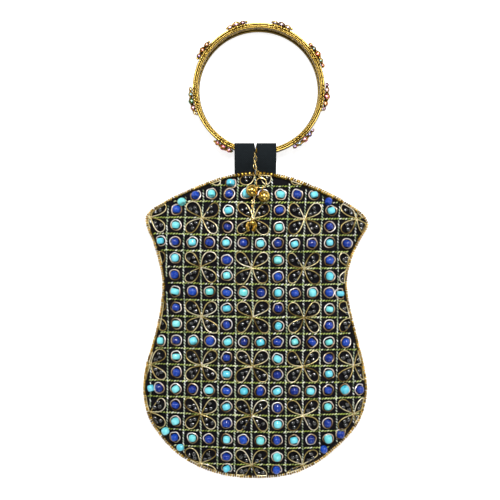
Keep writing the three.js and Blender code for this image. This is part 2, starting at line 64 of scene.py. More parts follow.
# Shader helpers
class NodeTree:
    """Short calls for adding and linking nodes in one node tree."""

    def __init__(self, tree: bpy.types.NodeTree) -> None:
        """Keeps the tree that nodes go into.

        Args:
            tree: The shader or geometry node tree.
        """
        self.tree = tree

    def add(self, kind: str, **values: object) -> bpy.types.Node:
        """Adds a node.

        Args:
            kind: Blender's name of the node's type.
            values: Node properties, or input sockets by name with spaces as underscores.

        Returns:
            The new node.
        """
        node = self.tree.nodes.new(kind)
        for name, value in values.items():
            if name in node.inputs:
                self.feed(value, node.inputs[name])
            elif hasattr(node, name):
                setattr(node, name, value)
            else:
                self.feed(value, node.inputs[name.replace("_", " ")])
        return node

    def feed(self, value: object, socket: bpy.types.NodeSocket) -> None:
        """Links a socket to an input, or sets the input's own value.

        Args:
            value: An output socket, or a plain value.
            socket: The input to feed.
        """
        if isinstance(value, bpy.types.NodeSocket):
            self.tree.links.new(value, socket)
        else:
            socket.default_value = value

    def math(self, operation: str, *values: object, clamp: bool = False) -> bpy.types.NodeSocket:
        """Adds a Math node.

        Args:
            operation: The operation's name.
            values: Sockets or numbers for its inputs, in order.
            clamp: Whether the result is kept between 0 and 1.

        Returns:
            The result's socket.
        """
        kind = "ShaderNodeMath"
        node = self.add(kind, operation=operation, use_clamp=clamp)
        for value, socket in zip(values, node.inputs):
            self.feed(value, socket)
        return node.outputs[0]

    def ramp(self, factor: object, stops: Sequence[tuple[float, tuple]]) -> bpy.types.NodeSocket:
        """Adds a colour ramp.

        Args:
            factor: The socket that drives it.
            stops: Pairs of a place from 0 to 1 and a linear colour of three numbers.

        Returns:
            The colour's socket.
        """
        node = self.add("ShaderNodeValToRGB")
        ramp = node.color_ramp
        while len(ramp.elements) < len(stops):
            ramp.elements.new(0.5)
        for element, (place, color) in zip(ramp.elements, stops):
            element.position = place
            element.color = (*color, 1.0)
        self.feed(factor, node.inputs[0])
        return node.outputs[0]


def linear(code: str) -> tuple[float, float, float]:
    """Turns a hexadecimal colour into linear numbers.

    Args:
        code: Six hexadecimal digits.

    Returns:
        Red, green and blue in linear light.
    """
    values = [int(code[i : i + 2], 16) / 255 for i in (0, 2, 4)]
    return tuple(v / 12.92 if v <= 0.04045 else ((v + 0.055) / 1.055) ** 2.4 for v in values)


def new_group(name: str, inputs: dict[str, tuple[str, object]], outputs: dict[str, str]) -> NodeTree:
    """Makes a shader node group with its input and output nodes.

    Args:
        name: The group's name.
        inputs: Socket type and default by input name.
        outputs: Socket type by output name.

    Returns:
        The tree, whose nodes "in" and "out" are its ends.
    """
    tree = bpy.data.node_groups.new(name, "ShaderNodeTree")
    for label, (kind, default) in inputs.items():
        socket = tree.interface.new_socket(label, in_out="INPUT", socket_type=kind)
        socket.default_value = default
    for label, kind in outputs.items():
        tree.interface.new_socket(label, in_out="OUTPUT", socket_type=kind)
    made = NodeTree(tree)
    made.add("NodeGroupInput").name = "in"
    made.add("NodeGroupOutput").name = "out"
    return made


def weave_group() -> bpy.types.NodeTree:
    """Makes the plain weave: over-and-under threads along X and Y of Object coordinates.

    Returns:
        The group, with outputs Height and Shade from 0 to 1.
    """
    made = new_group(
        "plain_weave",
        {"Vector": ("NodeSocketVector", (0, 0, 0)), "Pitch": ("NodeSocketFloat", 0.0005)},
        {"Height": "NodeSocketFloat", "Shade": "NodeSocketFloat"},
    )
    ends = made.tree.nodes
    split = made.add("ShaderNodeSeparateXYZ")
    made.feed(ends["in"].outputs["Vector"], split.inputs[0])
    waves = []
    for axis in (0, 1):
        turns = made.math("DIVIDE", split.outputs[axis], ends["in"].outputs["Pitch"])
        waves.append(made.math("SINE", made.math("MULTIPLY", turns, math.pi)))
    crossed = made.math("MULTIPLY", waves[0], waves[1])
    height = made.math("MULTIPLY_ADD", crossed, 0.5, 0.5)
    noise = made.add("ShaderNodeTexNoise", Scale=900.0, Detail=3.0)
    made.feed(ends["in"].outputs["Vector"], noise.inputs["Vector"])
    # Shade follows the weave's height: painted shade where the threads dip under, times random noise.
    shade = made.math("MULTIPLY", height, made.math("MULTIPLY_ADD", noise.outputs[0], 0.7, 0.55))
    made.feed(height, ends["out"].inputs["Height"])
    made.feed(shade, ends["out"].inputs["Shade"])
    return made.tree


def tarnish_group() -> bpy.types.NodeTree:
    """Makes metal tarnish: soft dark patches with fine scratches.

    Returns:
        The group, with outputs Patches and Scratches from 0 to 1.
    """
    made = new_group(
        "tarnish",
        {"Vector": ("NodeSocketVector", (0, 0, 0)), "Scale": ("NodeSocketFloat", 220.0)},
        {"Patches": "NodeSocketFloat", "Scratches": "NodeSocketFloat"},
    )
    ends = made.tree.nodes
    patches = made.add("ShaderNodeTexNoise", Detail=4.0, Roughness=0.6)
    made.feed(ends["in"].outputs["Vector"], patches.inputs["Vector"])
    made.feed(ends["in"].outputs["Scale"], patches.inputs["Scale"])
    fine = made.add("ShaderNodeTexNoise", Detail=2.0, Roughness=0.7)
    made.feed(ends["in"].outputs["Vector"], fine.inputs["Vector"])
    made.feed(made.math("MULTIPLY", ends["in"].outputs["Scale"], 9.0), fine.inputs["Scale"])
    spread = made.math("MULTIPLY_ADD", patches.outputs[0], 3.0, -1.0, clamp=True)
    made.feed(spread, ends["out"].inputs["Patches"])
    made.feed(fine.outputs[0], ends["out"].inputs["Scratches"])
    return made.tree


# Finishes
@dataclass(frozen=True)
class Finish:
    """What every finish has: its material's name and the record's slot that it belongs to."""

    name: str
    slot: str

    def start(self) -> tuple[bpy.types.Material, NodeTree, bpy.types.Node, bpy.types.NodeSocket]:
        """Makes an empty material.

        Returns:
            The material, its tree, its Principled shader and the Object coordinates.
        """
        material = bpy.data.materials.new(self.name)
        material.use_nodes = True
        nodes = NodeTree(material.node_tree)
        shader = material.node_tree.nodes["Principled BSDF"]
        place = nodes.add("ShaderNodeTexCoord").outputs["Object"]
        return material, nodes, shader, place

    def material(self) -> bpy.types.Material:
        """Makes the material. Each kind of finish has its own."""
        raise NotImplementedError


@dataclass(frozen=True)
class Metal(Finish):
    """Gilt or brass with soft darker patches and fine scratches."""

    bright: str
    deep: str
    roughness: float = 0.25
    bump: float = 0.05
    scale: float = 220.0

    def material(self) -> bpy.types.Material:
        """Makes the metal.

        Returns:
            The material.
        """
        material, nodes, shader, place = self.start()
        group = nodes.add("ShaderNodeGroup", node_tree=GROUPS["tarnish"])
        nodes.feed(place, group.inputs["Vector"])
        group.inputs["Scale"].default_value = self.scale
        color = nodes.ramp(group.outputs["Patches"], [(0.0, linear(self.deep)), (1.0, linear(self.bright))])
        nodes.feed(color, shader.inputs["Base Color"])
        rough = nodes.math("MULTIPLY_ADD", group.outputs["Scratches"], 0.25, self.roughness - 0.12)
        nodes.feed(rough, shader.inputs["Roughness"])
        bump = nodes.add("ShaderNodeBump", Strength=self.bump, Distance=0.0002)
        nodes.feed(group.outputs["Scratches"], bump.inputs["Height"])
        nodes.feed(bump.outputs[0], shader.inputs["Normal"])
        shader.inputs["Metallic"].default_value = 1.0
        return material


@dataclass(frozen=True)
class TonedThread(Finish):
    """Metallic thread or wire whose stitches each have their own tone."""

    tones: tuple[str, ...]
    roughness: float = 0.35
    metallic: float = 0.85
    grain: float = 0.4

    def material(self) -> bpy.types.Material:
        """Makes the thread, coloured by the attribute tone.

        Returns:
            The material.
        """
        material, nodes, shader, place = self.start()
        tone = nodes.add("ShaderNodeAttribute", attribute_name="tone").outputs["Fac"]
        last = max(1, len(self.tones) - 1)
        stops = [(i / last, linear(code)) for i, code in enumerate(self.tones)]
        color = nodes.ramp(tone, stops)
        noise = nodes.add("ShaderNodeTexNoise", Scale=2600.0, Detail=2.0)
        nodes.feed(place, noise.inputs["Vector"])
        mixed = nodes.add("ShaderNodeMix", data_type="RGBA", blend_type="MULTIPLY")
        nodes.feed(self.grain, mixed.inputs["Factor"])
        nodes.feed(color, mixed.inputs[6])
        nodes.feed(nodes.ramp(noise.outputs[0], [(0.3, (0.25, 0.25, 0.25)), (0.7, (1, 1, 1))]), mixed.inputs[7])
        nodes.feed(mixed.outputs[2], shader.inputs["Base Color"])
        bump = nodes.add("ShaderNodeBump", Strength=self.grain, Distance=0.0001)
        nodes.feed(noise.outputs[0], bump.inputs["Height"])
        nodes.feed(bump.outputs[0], shader.inputs["Normal"])
        shader.inputs["Metallic"].default_value = self.metallic
        shader.inputs["Roughness"].default_value = self.roughness
        return material


@dataclass(frozen=True)
class Cloth(Finish):
    """Woven cloth with a visible thread."""

    light: str
    dark: str
    pitch: float = 0.0006
    sheen: float = 0.3

    def material(self) -> bpy.types.Material:
        """Makes the cloth.

        Returns:
            The material.
        """
        material, nodes, shader, place = self.start()
        group = nodes.add("ShaderNodeGroup", node_tree=GROUPS["weave"])
        nodes.feed(place, group.inputs["Vector"])
        group.inputs["Pitch"].default_value = self.pitch
        # The colour follows the weave's Shade output: painted shade where the threads dip, with random tone.
        color = nodes.ramp(group.outputs["Shade"], [(0.1, linear(self.dark)), (0.9, linear(self.light))])
        nodes.feed(color, shader.inputs["Base Color"])
        bump = nodes.add("ShaderNodeBump", Strength=0.5, Distance=0.0002)
        nodes.feed(group.outputs["Height"], bump.inputs["Height"])
        nodes.feed(bump.outputs[0], shader.inputs["Normal"])
        shader.inputs["Roughness"].default_value = 0.85
        shader.inputs["Sheen Weight"].default_value = self.sheen
        shader.inputs["Specular IOR Level"].default_value = 0.12
        return material


@dataclass(frozen=True)
class GlassBead(Finish):
    """Opaque or lightly clouded glass beads, a tone for each bead from the attribute tone."""

    tones: tuple[str, ...]
    cloud: str
    roughness: float = 0.12
    coat: float = 0.3

    def material(self) -> bpy.types.Material:
        """Makes the glass.

        Returns:
            The material.
        """
        material, nodes, shader, place = self.start()
        tone = nodes.add("ShaderNodeAttribute", attribute_name="tone").outputs["Fac"]
        last = max(1, len(self.tones) - 1)
        color = nodes.ramp(tone, [(i / last, linear(code)) for i, code in enumerate(self.tones)])
        noise = nodes.add("ShaderNodeTexNoise", Scale=420.0, Detail=3.0)
        nodes.feed(place, noise.inputs["Vector"])
        cloud = nodes.ramp(noise.outputs[0], [(0.42, (0, 0, 0)), (0.75, (1, 1, 1))])
        mixed = nodes.add("ShaderNodeMix", data_type="RGBA", blend_type="MIX")
        nodes.feed(nodes.math("MULTIPLY", cloud, 0.3), mixed.inputs["Factor"])
        nodes.feed(color, mixed.inputs[6])
        nodes.feed((*linear(self.cloud), 1.0), mixed.inputs[7])
        nodes.feed(mixed.outputs[2], shader.inputs["Base Color"])
        fine = nodes.add("ShaderNodeTexNoise", Scale=1500.0)
        nodes.feed(place, fine.inputs["Vector"])
        rough = nodes.math("MULTIPLY_ADD", fine.outputs[0], 0.12, self.roughness - 0.05)
        nodes.feed(rough, shader.inputs["Roughness"])
        shader.inputs["IOR"].default_value = 1.52
        shader.inputs["Specular IOR Level"].default_value = 0.2
        shader.inputs["Coat Weight"].default_value = self.coat
        shader.inputs["Coat Roughness"].default_value = 0.05
        shader.inputs["Coat IOR"].default_value = 1.4 + self.coat
        return material


GROUPS: dict[str, bpy.types.NodeTree] = {}

GROUND_CLOTH = Cloth("ground_cloth", "embroidery", "0e0c12", "030204", pitch=0.0005, sheen=0.0)
BACK_CLOTH = Cloth("back_cloth", "cloth", "1c1920", "050406", pitch=0.0007, sheen=0.02)
GROSGRAIN = Cloth("grosgrain", "grosgrain", "1a2125", "070a0c", pitch=0.0005, sheen=0.02)
CORD_UPRIGHT = TonedThread("cord_upright", "metallic_thread", ("566848", "a8ba92", "e2e8d8", "ffffff"), 0.35, 0.25)
CORD_LEVEL = TonedThread("cord_level", "metallic_thread", ("5a6c1c", "a8bc48", "dae490", "fcfce8"), 0.35, 0.25)
# The ring wire's ramp runs up to near white for the rings' painted highlight.
RING_WIRE = TonedThread("ring_wire", "gold_beads", ("6a5032", "b89c78", "f4e2d2", "fff8f4"), 0.25, 0.4)
PETAL_WIRE = TonedThread("petal_wire", "gold_beads", ("7a6430", "c0aa66", "ecdca8", "fff4d8"), 0.25, 0.45)
TURQUOISE = GlassBead("turquoise_glass", "turquoise_glass", ("3cb0c8", "66ccdc", "60c6c2"), "c0f2f2", 0.12, 0.5)
COBALT = GlassBead("cobalt_glass", "cobalt_glass", ("04125e", "082986", "0e3ea2"), "285cc0", 0.12, 0.4)
JET = GlassBead("jet_glass", "black_glass", ("010202", "020303", "030506"), "05080a", 0.07, 0.8)
GOLD_BEADS = TonedThread("gold_seed_beads", "gold_beads", ("5c4008", "a88226", "e6c05a", "725410"), 0.26, 0.9)
RAIL_GOLD = TonedThread("rail_gold", "antique_gold", ("120a02", "3a2c0e", "6a5422", "b0964e"), 0.34, 1.0, grain=0.02)
# The cluster plates are a very dark gold: painted shade round the clusters' stones and granules.
PLATE_GOLD_PAINTED_SHADE = Metal("plate_gold", "antique_gold", "7a5c28", "24100a", 0.3, 0.2, 500.0)
ANTIQUE_GOLD = Metal("antique_gold", "antique_gold", "c39a38", "5a3c10", 0.28, 0.1)
BRIGHT_GOLD = Metal("bright_gold", "bright_gold", "f0ca6c", "a07c24", 0.24)
BRASS = Metal("chain_brass", "chain_brass", "fae6a8", "b08c3c", 0.24)


# The pouch's frame and surfaces
@dataclass
class Pouch:
    """Sizes and surfaces of the pouch, shared by all that lies on it."""

    width: float = 126.0
    height: float = 171.0
    crown: float = 15.5
    front_wall: float = 2.0
    back_wall: float = 1.6
    edge_rise: float = 1.2
    mouth_lift: float = 6.5
    mouth_up: float = 0.6
    mouth_reach: float = 0.97
    dome_spread: float = 40.0
    dome_fullness: float = 2.2
    back_curl: float = 12.0
    edging: float = 2.0
    seat: float = 0.3
    # share of the height, then shares of half the width to the left and to the right
    outline: tuple[Point, ...] = (
        (0, 0, 0),
        (0.0045, 0.2, 0.21),
        (0.02, 0.39, 0.38),
        (0.053, 0.594, 0.56),
        (0.094, 0.743, 0.7),
        (0.143, 0.862, 0.835),
        (0.2, 0.956, 0.938),
        (0.281, 1.003, 0.99),
        (0.363, 0.984, 0.968),
        (0.433, 0.929, 0.922),
        (0.512, 0.872, 0.87),
        (0.59, 0.84, 0.824),
        (0.648, 0.833, 0.813),
        (0.72, 0.87, 0.853),
        (0.786, 0.927, 0.935),
        (0.813, 0.96, 0.981),
        (0.835, 0.978, 1.002),
        (0.855, 0.983, 0.979),
        (0.873, 0.956, 0.933),
        (0.898, 0.857, 0.832),
        (0.927, 0.706, 0.686),
        (0.967, 0.444, 0.429),
        (0.991, 0.23, 0.215),
        (1, 0, 0),
    )
    fine: np.ndarray = field(init=False)

    def __post_init__(self) -> None:
        """Works out the fine edge that depths are measured from."""
        self.fine = self.inset(self.edging + self.seat, 1600)

    @property
    def seam_top(self) -> float:
        """Height of the front cloth at the side seams."""
        return self.edge_rise + self.back_wall + self.seat + self.front_wall

    def edge_points(self) -> np.ndarray:
        """Gives the outline's chosen points, counter-clockwise from the base.

        Returns:
            An array of X and Y.
        """
        half = self.width / 2
        right = [(row[2] * half, row[0] * self.height) for row in self.outline]
        left = [(-row[1] * half, row[0] * self.height) for row in self.outline[-2:0:-1]]
        return np.array(right + left)

    def curve(self, count: int) -> tuple[np.ndarray, np.ndarray]:
        """Follows the outline as a closed centripetal Catmull-Rom curve.

        Args:
            count: How many points to give, evenly spaced along the edge.

        Returns:
            The points, and the unit tangents at them.
        """
        knots = self.edge_points()
        steps = 24
        fine = []
        for i in range(len(knots)):
            p = [knots[(i + k - 1) % len(knots)] for k in range(4)]
            t = [0.0]
            for a, b in zip(p, p[1:]):
                t.append(t[-1] + np.linalg.norm(b - a) ** 0.5)
            for k in range(steps):
                u = t[1] + (t[2] - t[1]) * k / steps
                a1 = ((t[1] - u) * p[0] + (u - t[0]) * p[1]) / (t[1] - t[0])
                a2 = ((t[2] - u) * p[1] + (u - t[1]) * p[2]) / (t[2] - t[1])
                a3 = ((t[3] - u) * p[2] + (u - t[2]) * p[3]) / (t[3] - t[2])
                b1 = ((t[2] - u) * a1 + (u - t[0]) * a2) / (t[2] - t[0])
                b2 = ((t[3] - u) * a2 + (u - t[1]) * a3) / (t[3] - t[1])
                fine.append(((t[2] - u) * b1 + (u - t[1]) * b2) / (t[2] - t[1]))
        closed = np.array(fine + [fine[0]])
        lengths = np.linalg.norm(np.diff(closed, axis=0), axis=1)
        run = np.concatenate([[0.0], np.cumsum(lengths)])
        wanted = np.arange(count) * run[-1] / count
        points = np.stack([np.interp(wanted, run, closed[:, k]) for k in (0, 1)], axis=1)
        along = np.roll(points, -1, axis=0) - np.roll(points, 1, axis=0)
        return points, along / np.linalg.norm(along, axis=1)[:, None]

    def inset(self, distance: float, count: int) -> np.ndarray:
        """Moves the outline inwards.

        Args:
            distance: How far.
            count: How many points.

        Returns:
            An array of X and Y.
        """
        points, along = self.curve(count)
        return points + distance * np.stack([-along[:, 1], along[:, 0]], axis=1)

    def depth(self, x: np.ndarray, y: np.ndarray) -> np.ndarray:
        """Gives the distance to the edge, rounded over where two parts of the edge are as near.

        Args:
            x: X of the places.
            y: Y of the places.

        Returns:
            The distances.
        """
        step = np.linalg.norm(np.roll(self.fine, -1, axis=0) - self.fine, axis=1)
        result = np.empty(len(x))
        for start in range(0, len(x), 4000):
            part = slice(start, start + 4000)
            dx = x[part, None] - self.fine[None, :, 0]
            dy = y[part, None] - self.fine[None, :, 1]
            square = dx * dx + dy * dy + 0.05
            result[part] = (2 / math.pi * (step / square**2).sum(axis=1)) ** (-1 / 3)
        return result

    def mouth(self, x: np.ndarray, y: np.ndarray) -> np.ndarray:
        """Gives how far the front lifts towards the mouth, from 0 at the seams to 1.

        Args:
            x: X of the places.
            y: Y of the places.

        Returns:
            The shares.
        """
        start = self.mouth_up * self.height
        reach = self.mouth_reach * self.width / 2
        across = np.cos(math.pi / 2 * np.clip(x / reach, -1, 1))
        return across * (np.clip(y - start, 0, None) / (self.height - start)) ** 2

    def front(self, x: np.ndarray, y: np.ndarray) -> np.ndarray:
        """Gives the height of the front cloth.

        Args:
            x: X of the places.
            y: Y of the places.

        Returns:
            The heights.
        """
        x, y = np.asarray(x, float), np.asarray(y, float)
        flatness = (1 - np.minimum(1, self.depth(x, y) / self.dome_spread)) ** self.dome_fullness
        dome = (self.crown - self.seam_top) * (1 - flatness)
        return self.seam_top + dome + self.mouth_lift * self.mouth(x, y)

    def back(self, x: np.ndarray, y: np.ndarray) -> np.ndarray:
        """Gives the height of the underside of the back cloth.

        Args:
            x: X of the places.
            y: Y of the places.

        Returns:
            The heights.
        """
        curl = 1 - np.minimum(1, self.depth(x, y) / self.back_curl)
        return self.edge_rise * (1 - self.mouth(x, y)) * curl * curl

    def up(self, x: np.ndarray, y: np.ndarray) -> np.ndarray:
        """Gives the unit normals of the front cloth.

        Args:
            x: X of the places.
            y: Y of the places.

        Returns:
            An array of vectors.
        """
        step = 0.5
        slope_x = (self.front(x + step, y) - self.front(x - step, y)) / (2 * step)
        slope_y = (self.front(x, y + step) - self.front(x, y - step)) / (2 * step)
        normal = np.stack([-slope_x, -slope_y, np.ones(len(x))], axis=1)
        return normal / np.linalg.norm(normal, axis=1)[:, None]

    def pushed(self, places: np.ndarray, clear: float) -> tuple[np.ndarray, np.ndarray]:
        """Moves places that are too near the panels' edge straight inwards.

        Args:
            places: An array of X and Y.
            clear: Least distance from the edge.

        Returns:
            The moved places, and how far inside the edge each one was, less than 0 outside it.
        """
        points, along = self.curve(1600)
        inwards = np.stack([-along[:, 1], along[:, 0]], axis=1)
        edge = points + (self.edging + self.seat) * inwards
        moved = places.copy()
        deep = np.empty(len(places))
        for k, place in enumerate(places):
            nearest = int(np.argmin(((edge - place) ** 2).sum(axis=1)))
            deep[k] = float((place - edge[nearest]) @ inwards[nearest])
            if deep[k] < clear:
                moved[k] = place + (clear - deep[k]) * inwards[nearest]
        return moved, deep

    def inside(self, x: np.ndarray, y: np.ndarray) -> np.ndarray:
        """Says which places lie inside the edge of the panels.

        Args:
            x: X of the places.
            y: Y of the places.

        Returns:
            An array of truth values.
        """
        result = np.zeros(len(x), bool)
        after = np.roll(self.fine, -1, axis=0)
        for a, b in zip(self.fine, after):
            if a[1] == b[1]:
                continue
            crosses = (a[1] > y) != (b[1] > y)
            result ^= crosses & (x < a[0] + (b[0] - a[0]) * (y - a[1]) / (b[1] - a[1]))
        return result


class Site:
    """Where the pouch's own frame lies in the row's frame."""

    def __init__(self) -> None:
        """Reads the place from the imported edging."""
        low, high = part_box("bead_edging")
        self.origin = np.array([(low[0] + high[0]) / 2, low[1], 0.0])

    def metres(self, points: np.ndarray) -> np.ndarray:
        """Turns millimetres of the pouch's frame into the row's metres.

        Args:
            points: An array of places.

        Returns:
            The places in metres.
        """
        return np.asarray(points, float) * MM + self.origin

    def mesh(self, name: str, points: np.ndarray, faces: Sequence, smooth: bool = True) -> bpy.types.Object:
        """Makes an object from places and faces.

        Args:
            name: The object's name.
            points: Places in millimetres.
            faces: Tuples of point numbers.
            smooth: Whether its faces are shaded smooth.

        Returns:
            The object, linked to the scene.
        """
        mesh = bpy.data.meshes.new(name)
        mesh.from_pydata(self.metres(points).tolist(), [], faces)
        mesh.validate()
        mesh.polygons.foreach_set("use_smooth", [smooth] * len(mesh.polygons))
        made = bpy.data.objects.new(name, mesh)
        bpy.context.scene.collection.objects.link(made)
        return made


class Axis(Enum):
    """The two ways that the cords of the grid run."""

    UPRIGHT = 0
    LEVEL = 1


@dataclass
class Grid:
    """The grid of couched cords that beads and flowers are set out by."""

    pouch: Pouch
    pitch_x: float = 9.55
    pitch_y: float = 9.18
    first_x: float = -49.8
    first_up: float = 164.4
    lean: float = 2.0
    bow: float = 2.4
    block: int = 3
    columns: tuple[int, int] = (-2, 15)
    rows: tuple[int, int] = (-1, 20)
    bare: tuple[int, int] = (6, -1)
    pile: float = 1.0
    # the grid was measured on the photo: places above this plane look further out than they are
    view_plane: float = 8.0
    view_distance: float = 505.0
    view_x: float = -3.3
    view_y: float = 128.0
    # drift of the hand-laid cords: heights with a shift and a widening, then X with a rise
    sway: tuple[Point, ...] = (
        (21.6, -0.34, -0.003),
        (44.0, -0.2, -0.008),
        (66.4, 0.0, -0.01),
        (88.8, 0.34, -0.004),
        (111.2, -0.22, 0.0056),
        (133.6, -0.62, 0.0067),
        (156.0, -0.14, 0.0035),
    )
    sag: tuple[tuple[float, float], ...] = (
        (-48.0, 0.28),
        (-31.4, -0.04),
        (-14.6, -0.36),
        (2.2, -0.58),
        (19.0, -0.71),
        (35.8, -0.62),
        (52.6, -0.56),
    )

    def place(self, column: np.ndarray, row: np.ndarray) -> np.ndarray:
        """Gives the place of a crossing, or of any point between crossings.

        Args:
            column: Numbers of vertical cords, from the left.
            row: Numbers of horizontal cords, from the top.

        Returns:
            An array of X and Y.
        """
        x = self.first_x + np.asarray(column, float) * self.pitch_x
        y = self.first_up - np.asarray(row, float) * self.pitch_y
        high = np.maximum(0, 2 * y / self.pouch.height - 1)
        low = np.maximum(0, 1 - 2 * y / self.pouch.height)
        aside = x / (self.pouch.width / 2)
        heights, shifts, widenings = np.transpose(self.sway)
        across, rises = np.transpose(self.sag)
        drift = x * np.interp(y, heights, widenings) + np.interp(y, heights, shifts)
        rise = np.interp(x, across, rises)
        seen = np.stack([x + self.lean * high**2 + drift, y + self.bow * low * aside**2 + rise], axis=-1)
        flat = seen.reshape(-1, 2)
        rise = self.pouch.front(flat[:, 0], flat[:, 1]) + self.pile - self.view_plane
        view = np.array([self.view_x, self.view_y])
        return (flat - (rise / self.view_distance)[:, None] * (flat - view)).reshape(seen.shape)

    def cells(self) -> Iterable[tuple[int, int]]:
        """Gives the numbers of all cells, column first."""
        for column in range(self.columns[0], self.columns[1] + 1):
            for row in range(self.rows[0], self.rows[1] + 1):
                yield column, row

    def beads(self, clear: float, past: float) -> tuple[list[tuple[int, int]], np.ndarray, np.ndarray]:
        """Gives the cells that hold a round bead and the beads' middles, pushed in where the edge is near.

        Args:
            clear: Least distance of a bead's middle from the panel's edge.
            past: How far beyond the edge a cell's middle may lie and still hold a bead.

        Returns:
            Column and row numbers, an array of X and Y, and how far inside the edge each cell's middle lies.
        """
        cells = [c for c in self.cells() if (c[0] % self.block == 0 or c[1] % self.block == 0) and c != self.bare]
        middles = np.array([self.place(i + 0.5, j + 0.5) for i, j in cells])
        pushed, deep = self.pouch.pushed(middles, clear)
        kept = [k for k in range(len(cells)) if deep[k] > -past]
        return [cells[k] for k in kept], pushed[kept], deep[kept]


# Geometry node trees
def geometry_tree(name: str, inputs: dict[str, tuple[str, object]]) -> NodeTree:
    """Makes a geometry node tree that takes and gives geometry.

    Args:
        name: The tree's name.
        inputs: Socket type and default by input name.

    Returns:
        The tree, whose nodes "in" and "out" are its ends.
    """
    tree = bpy.data.node_groups.new(name, "GeometryNodeTree")
    tree.interface.new_socket("Geometry", in_out="INPUT", socket_type="NodeSocketGeometry")
    for label, (kind, default) in inputs.items():
        socket = tree.interface.new_socket(label, in_out="INPUT", socket_type=kind)
        if default is not None:
            socket.default_value = default
    tree.interface.new_socket("Geometry", in_out="OUTPUT", socket_type="NodeSocketGeometry")
    made = NodeTree(tree)
    made.add("NodeGroupInput").name = "in"
    made.add("NodeGroupOutput").name = "out"
    return made


def close_tree(made: NodeTree, geometry: bpy.types.NodeSocket) -> bpy.types.NodeTree:
    """Ends a tree in Realize Instances and Set Material.

    Args:
        made: The tree.
        geometry: The geometry to give out.

    Returns:
        The node tree.
    """
    ends = made.tree.nodes
    real = made.add("GeometryNodeRealizeInstances")
    made.feed(geometry, real.inputs[0])
    painted = made.add("GeometryNodeSetMaterial")
    made.feed(real.outputs[0], painted.inputs["Geometry"])
    made.feed(ends["in"].outputs["Material"], painted.inputs["Material"])
    made.feed(painted.outputs[0], ends["out"].inputs[0])
    return made.tree


def scatter_tree() -> bpy.types.NodeTree:
    """Makes the tree that stands a template on every point.

    The points carry the attributes "along" (the template's X), "up" (its Z) and "size".

    Returns:
        The tree.
    """
    made = geometry_tree(
        "scatter",
        {"Template": ("NodeSocketObject", None), "Material": ("NodeSocketMaterial", None)},
    )
    ends = made.tree.nodes
    template = made.add("GeometryNodeObjectInfo")
    made.feed(ends["in"].outputs["Template"], template.inputs["Object"])
    up = made.add("GeometryNodeInputNamedAttribute", data_type="FLOAT_VECTOR", Name="up")
    along = made.add("GeometryNodeInputNamedAttribute", data_type="FLOAT_VECTOR", Name="along")
    size = made.add("GeometryNodeInputNamedAttribute", data_type="FLOAT_VECTOR", Name="size")
    stand = made.add("FunctionNodeAlignRotationToVector", axis="Z")
    made.feed(up.outputs[0], stand.inputs["Vector"])
    turn = made.add("FunctionNodeAlignRotationToVector", axis="X", pivot_axis="Z")
    made.feed(stand.outputs[0], turn.inputs["Rotation"])
    made.feed(along.outputs[0], turn.inputs["Vector"])
    placed = made.add("GeometryNodeInstanceOnPoints")
    made.feed(ends["in"].outputs["Geometry"], placed.inputs["Points"])
    made.feed(template.outputs["Geometry"], placed.inputs["Instance"])
    made.feed(turn.outputs[0], placed.inputs["Rotation"])
    made.feed(size.outputs[0], placed.inputs["Scale"])
    return close_tree(made, placed.outputs[0])


def wire_tree() -> bpy.types.NodeTree:
    """Makes the tree that turns edges into round wire.

    Returns:
        The tree.
    """
    made = geometry_tree(
        "wire",
        {
            "Radius": ("NodeSocketFloat", 0.0004),
            "Sides": ("NodeSocketInt", 8),
            "Material": ("NodeSocketMaterial", None),
        },
    )
    ends = made.tree.nodes
    path = made.add("GeometryNodeMeshToCurve")
    made.feed(ends["in"].outputs["Geometry"], path.inputs["Mesh"])
    profile = made.add("GeometryNodeCurvePrimitiveCircle")
    made.feed(ends["in"].outputs["Sides"], profile.inputs["Resolution"])
    made.feed(ends["in"].outputs["Radius"], profile.inputs["Radius"])
    tube = made.add("GeometryNodeCurveToMesh", Fill_Caps=True)
    made.feed(path.outputs[0], tube.inputs["Curve"])
    made.feed(profile.outputs[0], tube.inputs["Profile Curve"])
    smooth = made.add("GeometryNodeSetShadeSmooth")
    made.feed(tube.outputs[0], smooth.inputs["Geometry"])
    return close_tree(made, smooth.outputs[0])


TREES: dict[str, bpy.types.NodeTree] = {}


def baked(carrier: bpy.types.Object, tree: bpy.types.NodeTree, values: dict[str, object]) -> bpy.types.Object:
    """Runs a geometry node tree on a carrier and keeps the result as a plain mesh.

    Args:
        carrier: The object with the points or edges.
        tree: The tree.
        values: The tree's inputs by name.

    Returns:
        The carrier, now with the finished mesh.
    """
    modifier = carrier.modifiers.new("nodes", "NODES")
    modifier.node_group = tree
    for item in tree.interface.items_tree:
        if item.item_type == "SOCKET" and item.in_out == "INPUT" and item.name in values:
            modifier[item.identifier] = values[item.name]
    carrier.update_tag()
    bpy.context.view_layer.update()
    evaluated = carrier.evaluated_get(bpy.context.evaluated_depsgraph_get())
    mesh = bpy.data.meshes.new_from_object(evaluated)
    carrier.modifiers.remove(modifier)
    old = carrier.data
    carrier.data = mesh
    bpy.data.meshes.remove(old)
    mesh.name = carrier.name
    return carrier


@dataclass
class Spot:
    """One place for a template: where it is, how it is turned, its size and its tone."""

    at: np.ndarray
    along: np.ndarray
    up: np.ndarray
    size: tuple[float, float, float] = (1.0, 1.0, 1.0)
    tone: float = 0.5


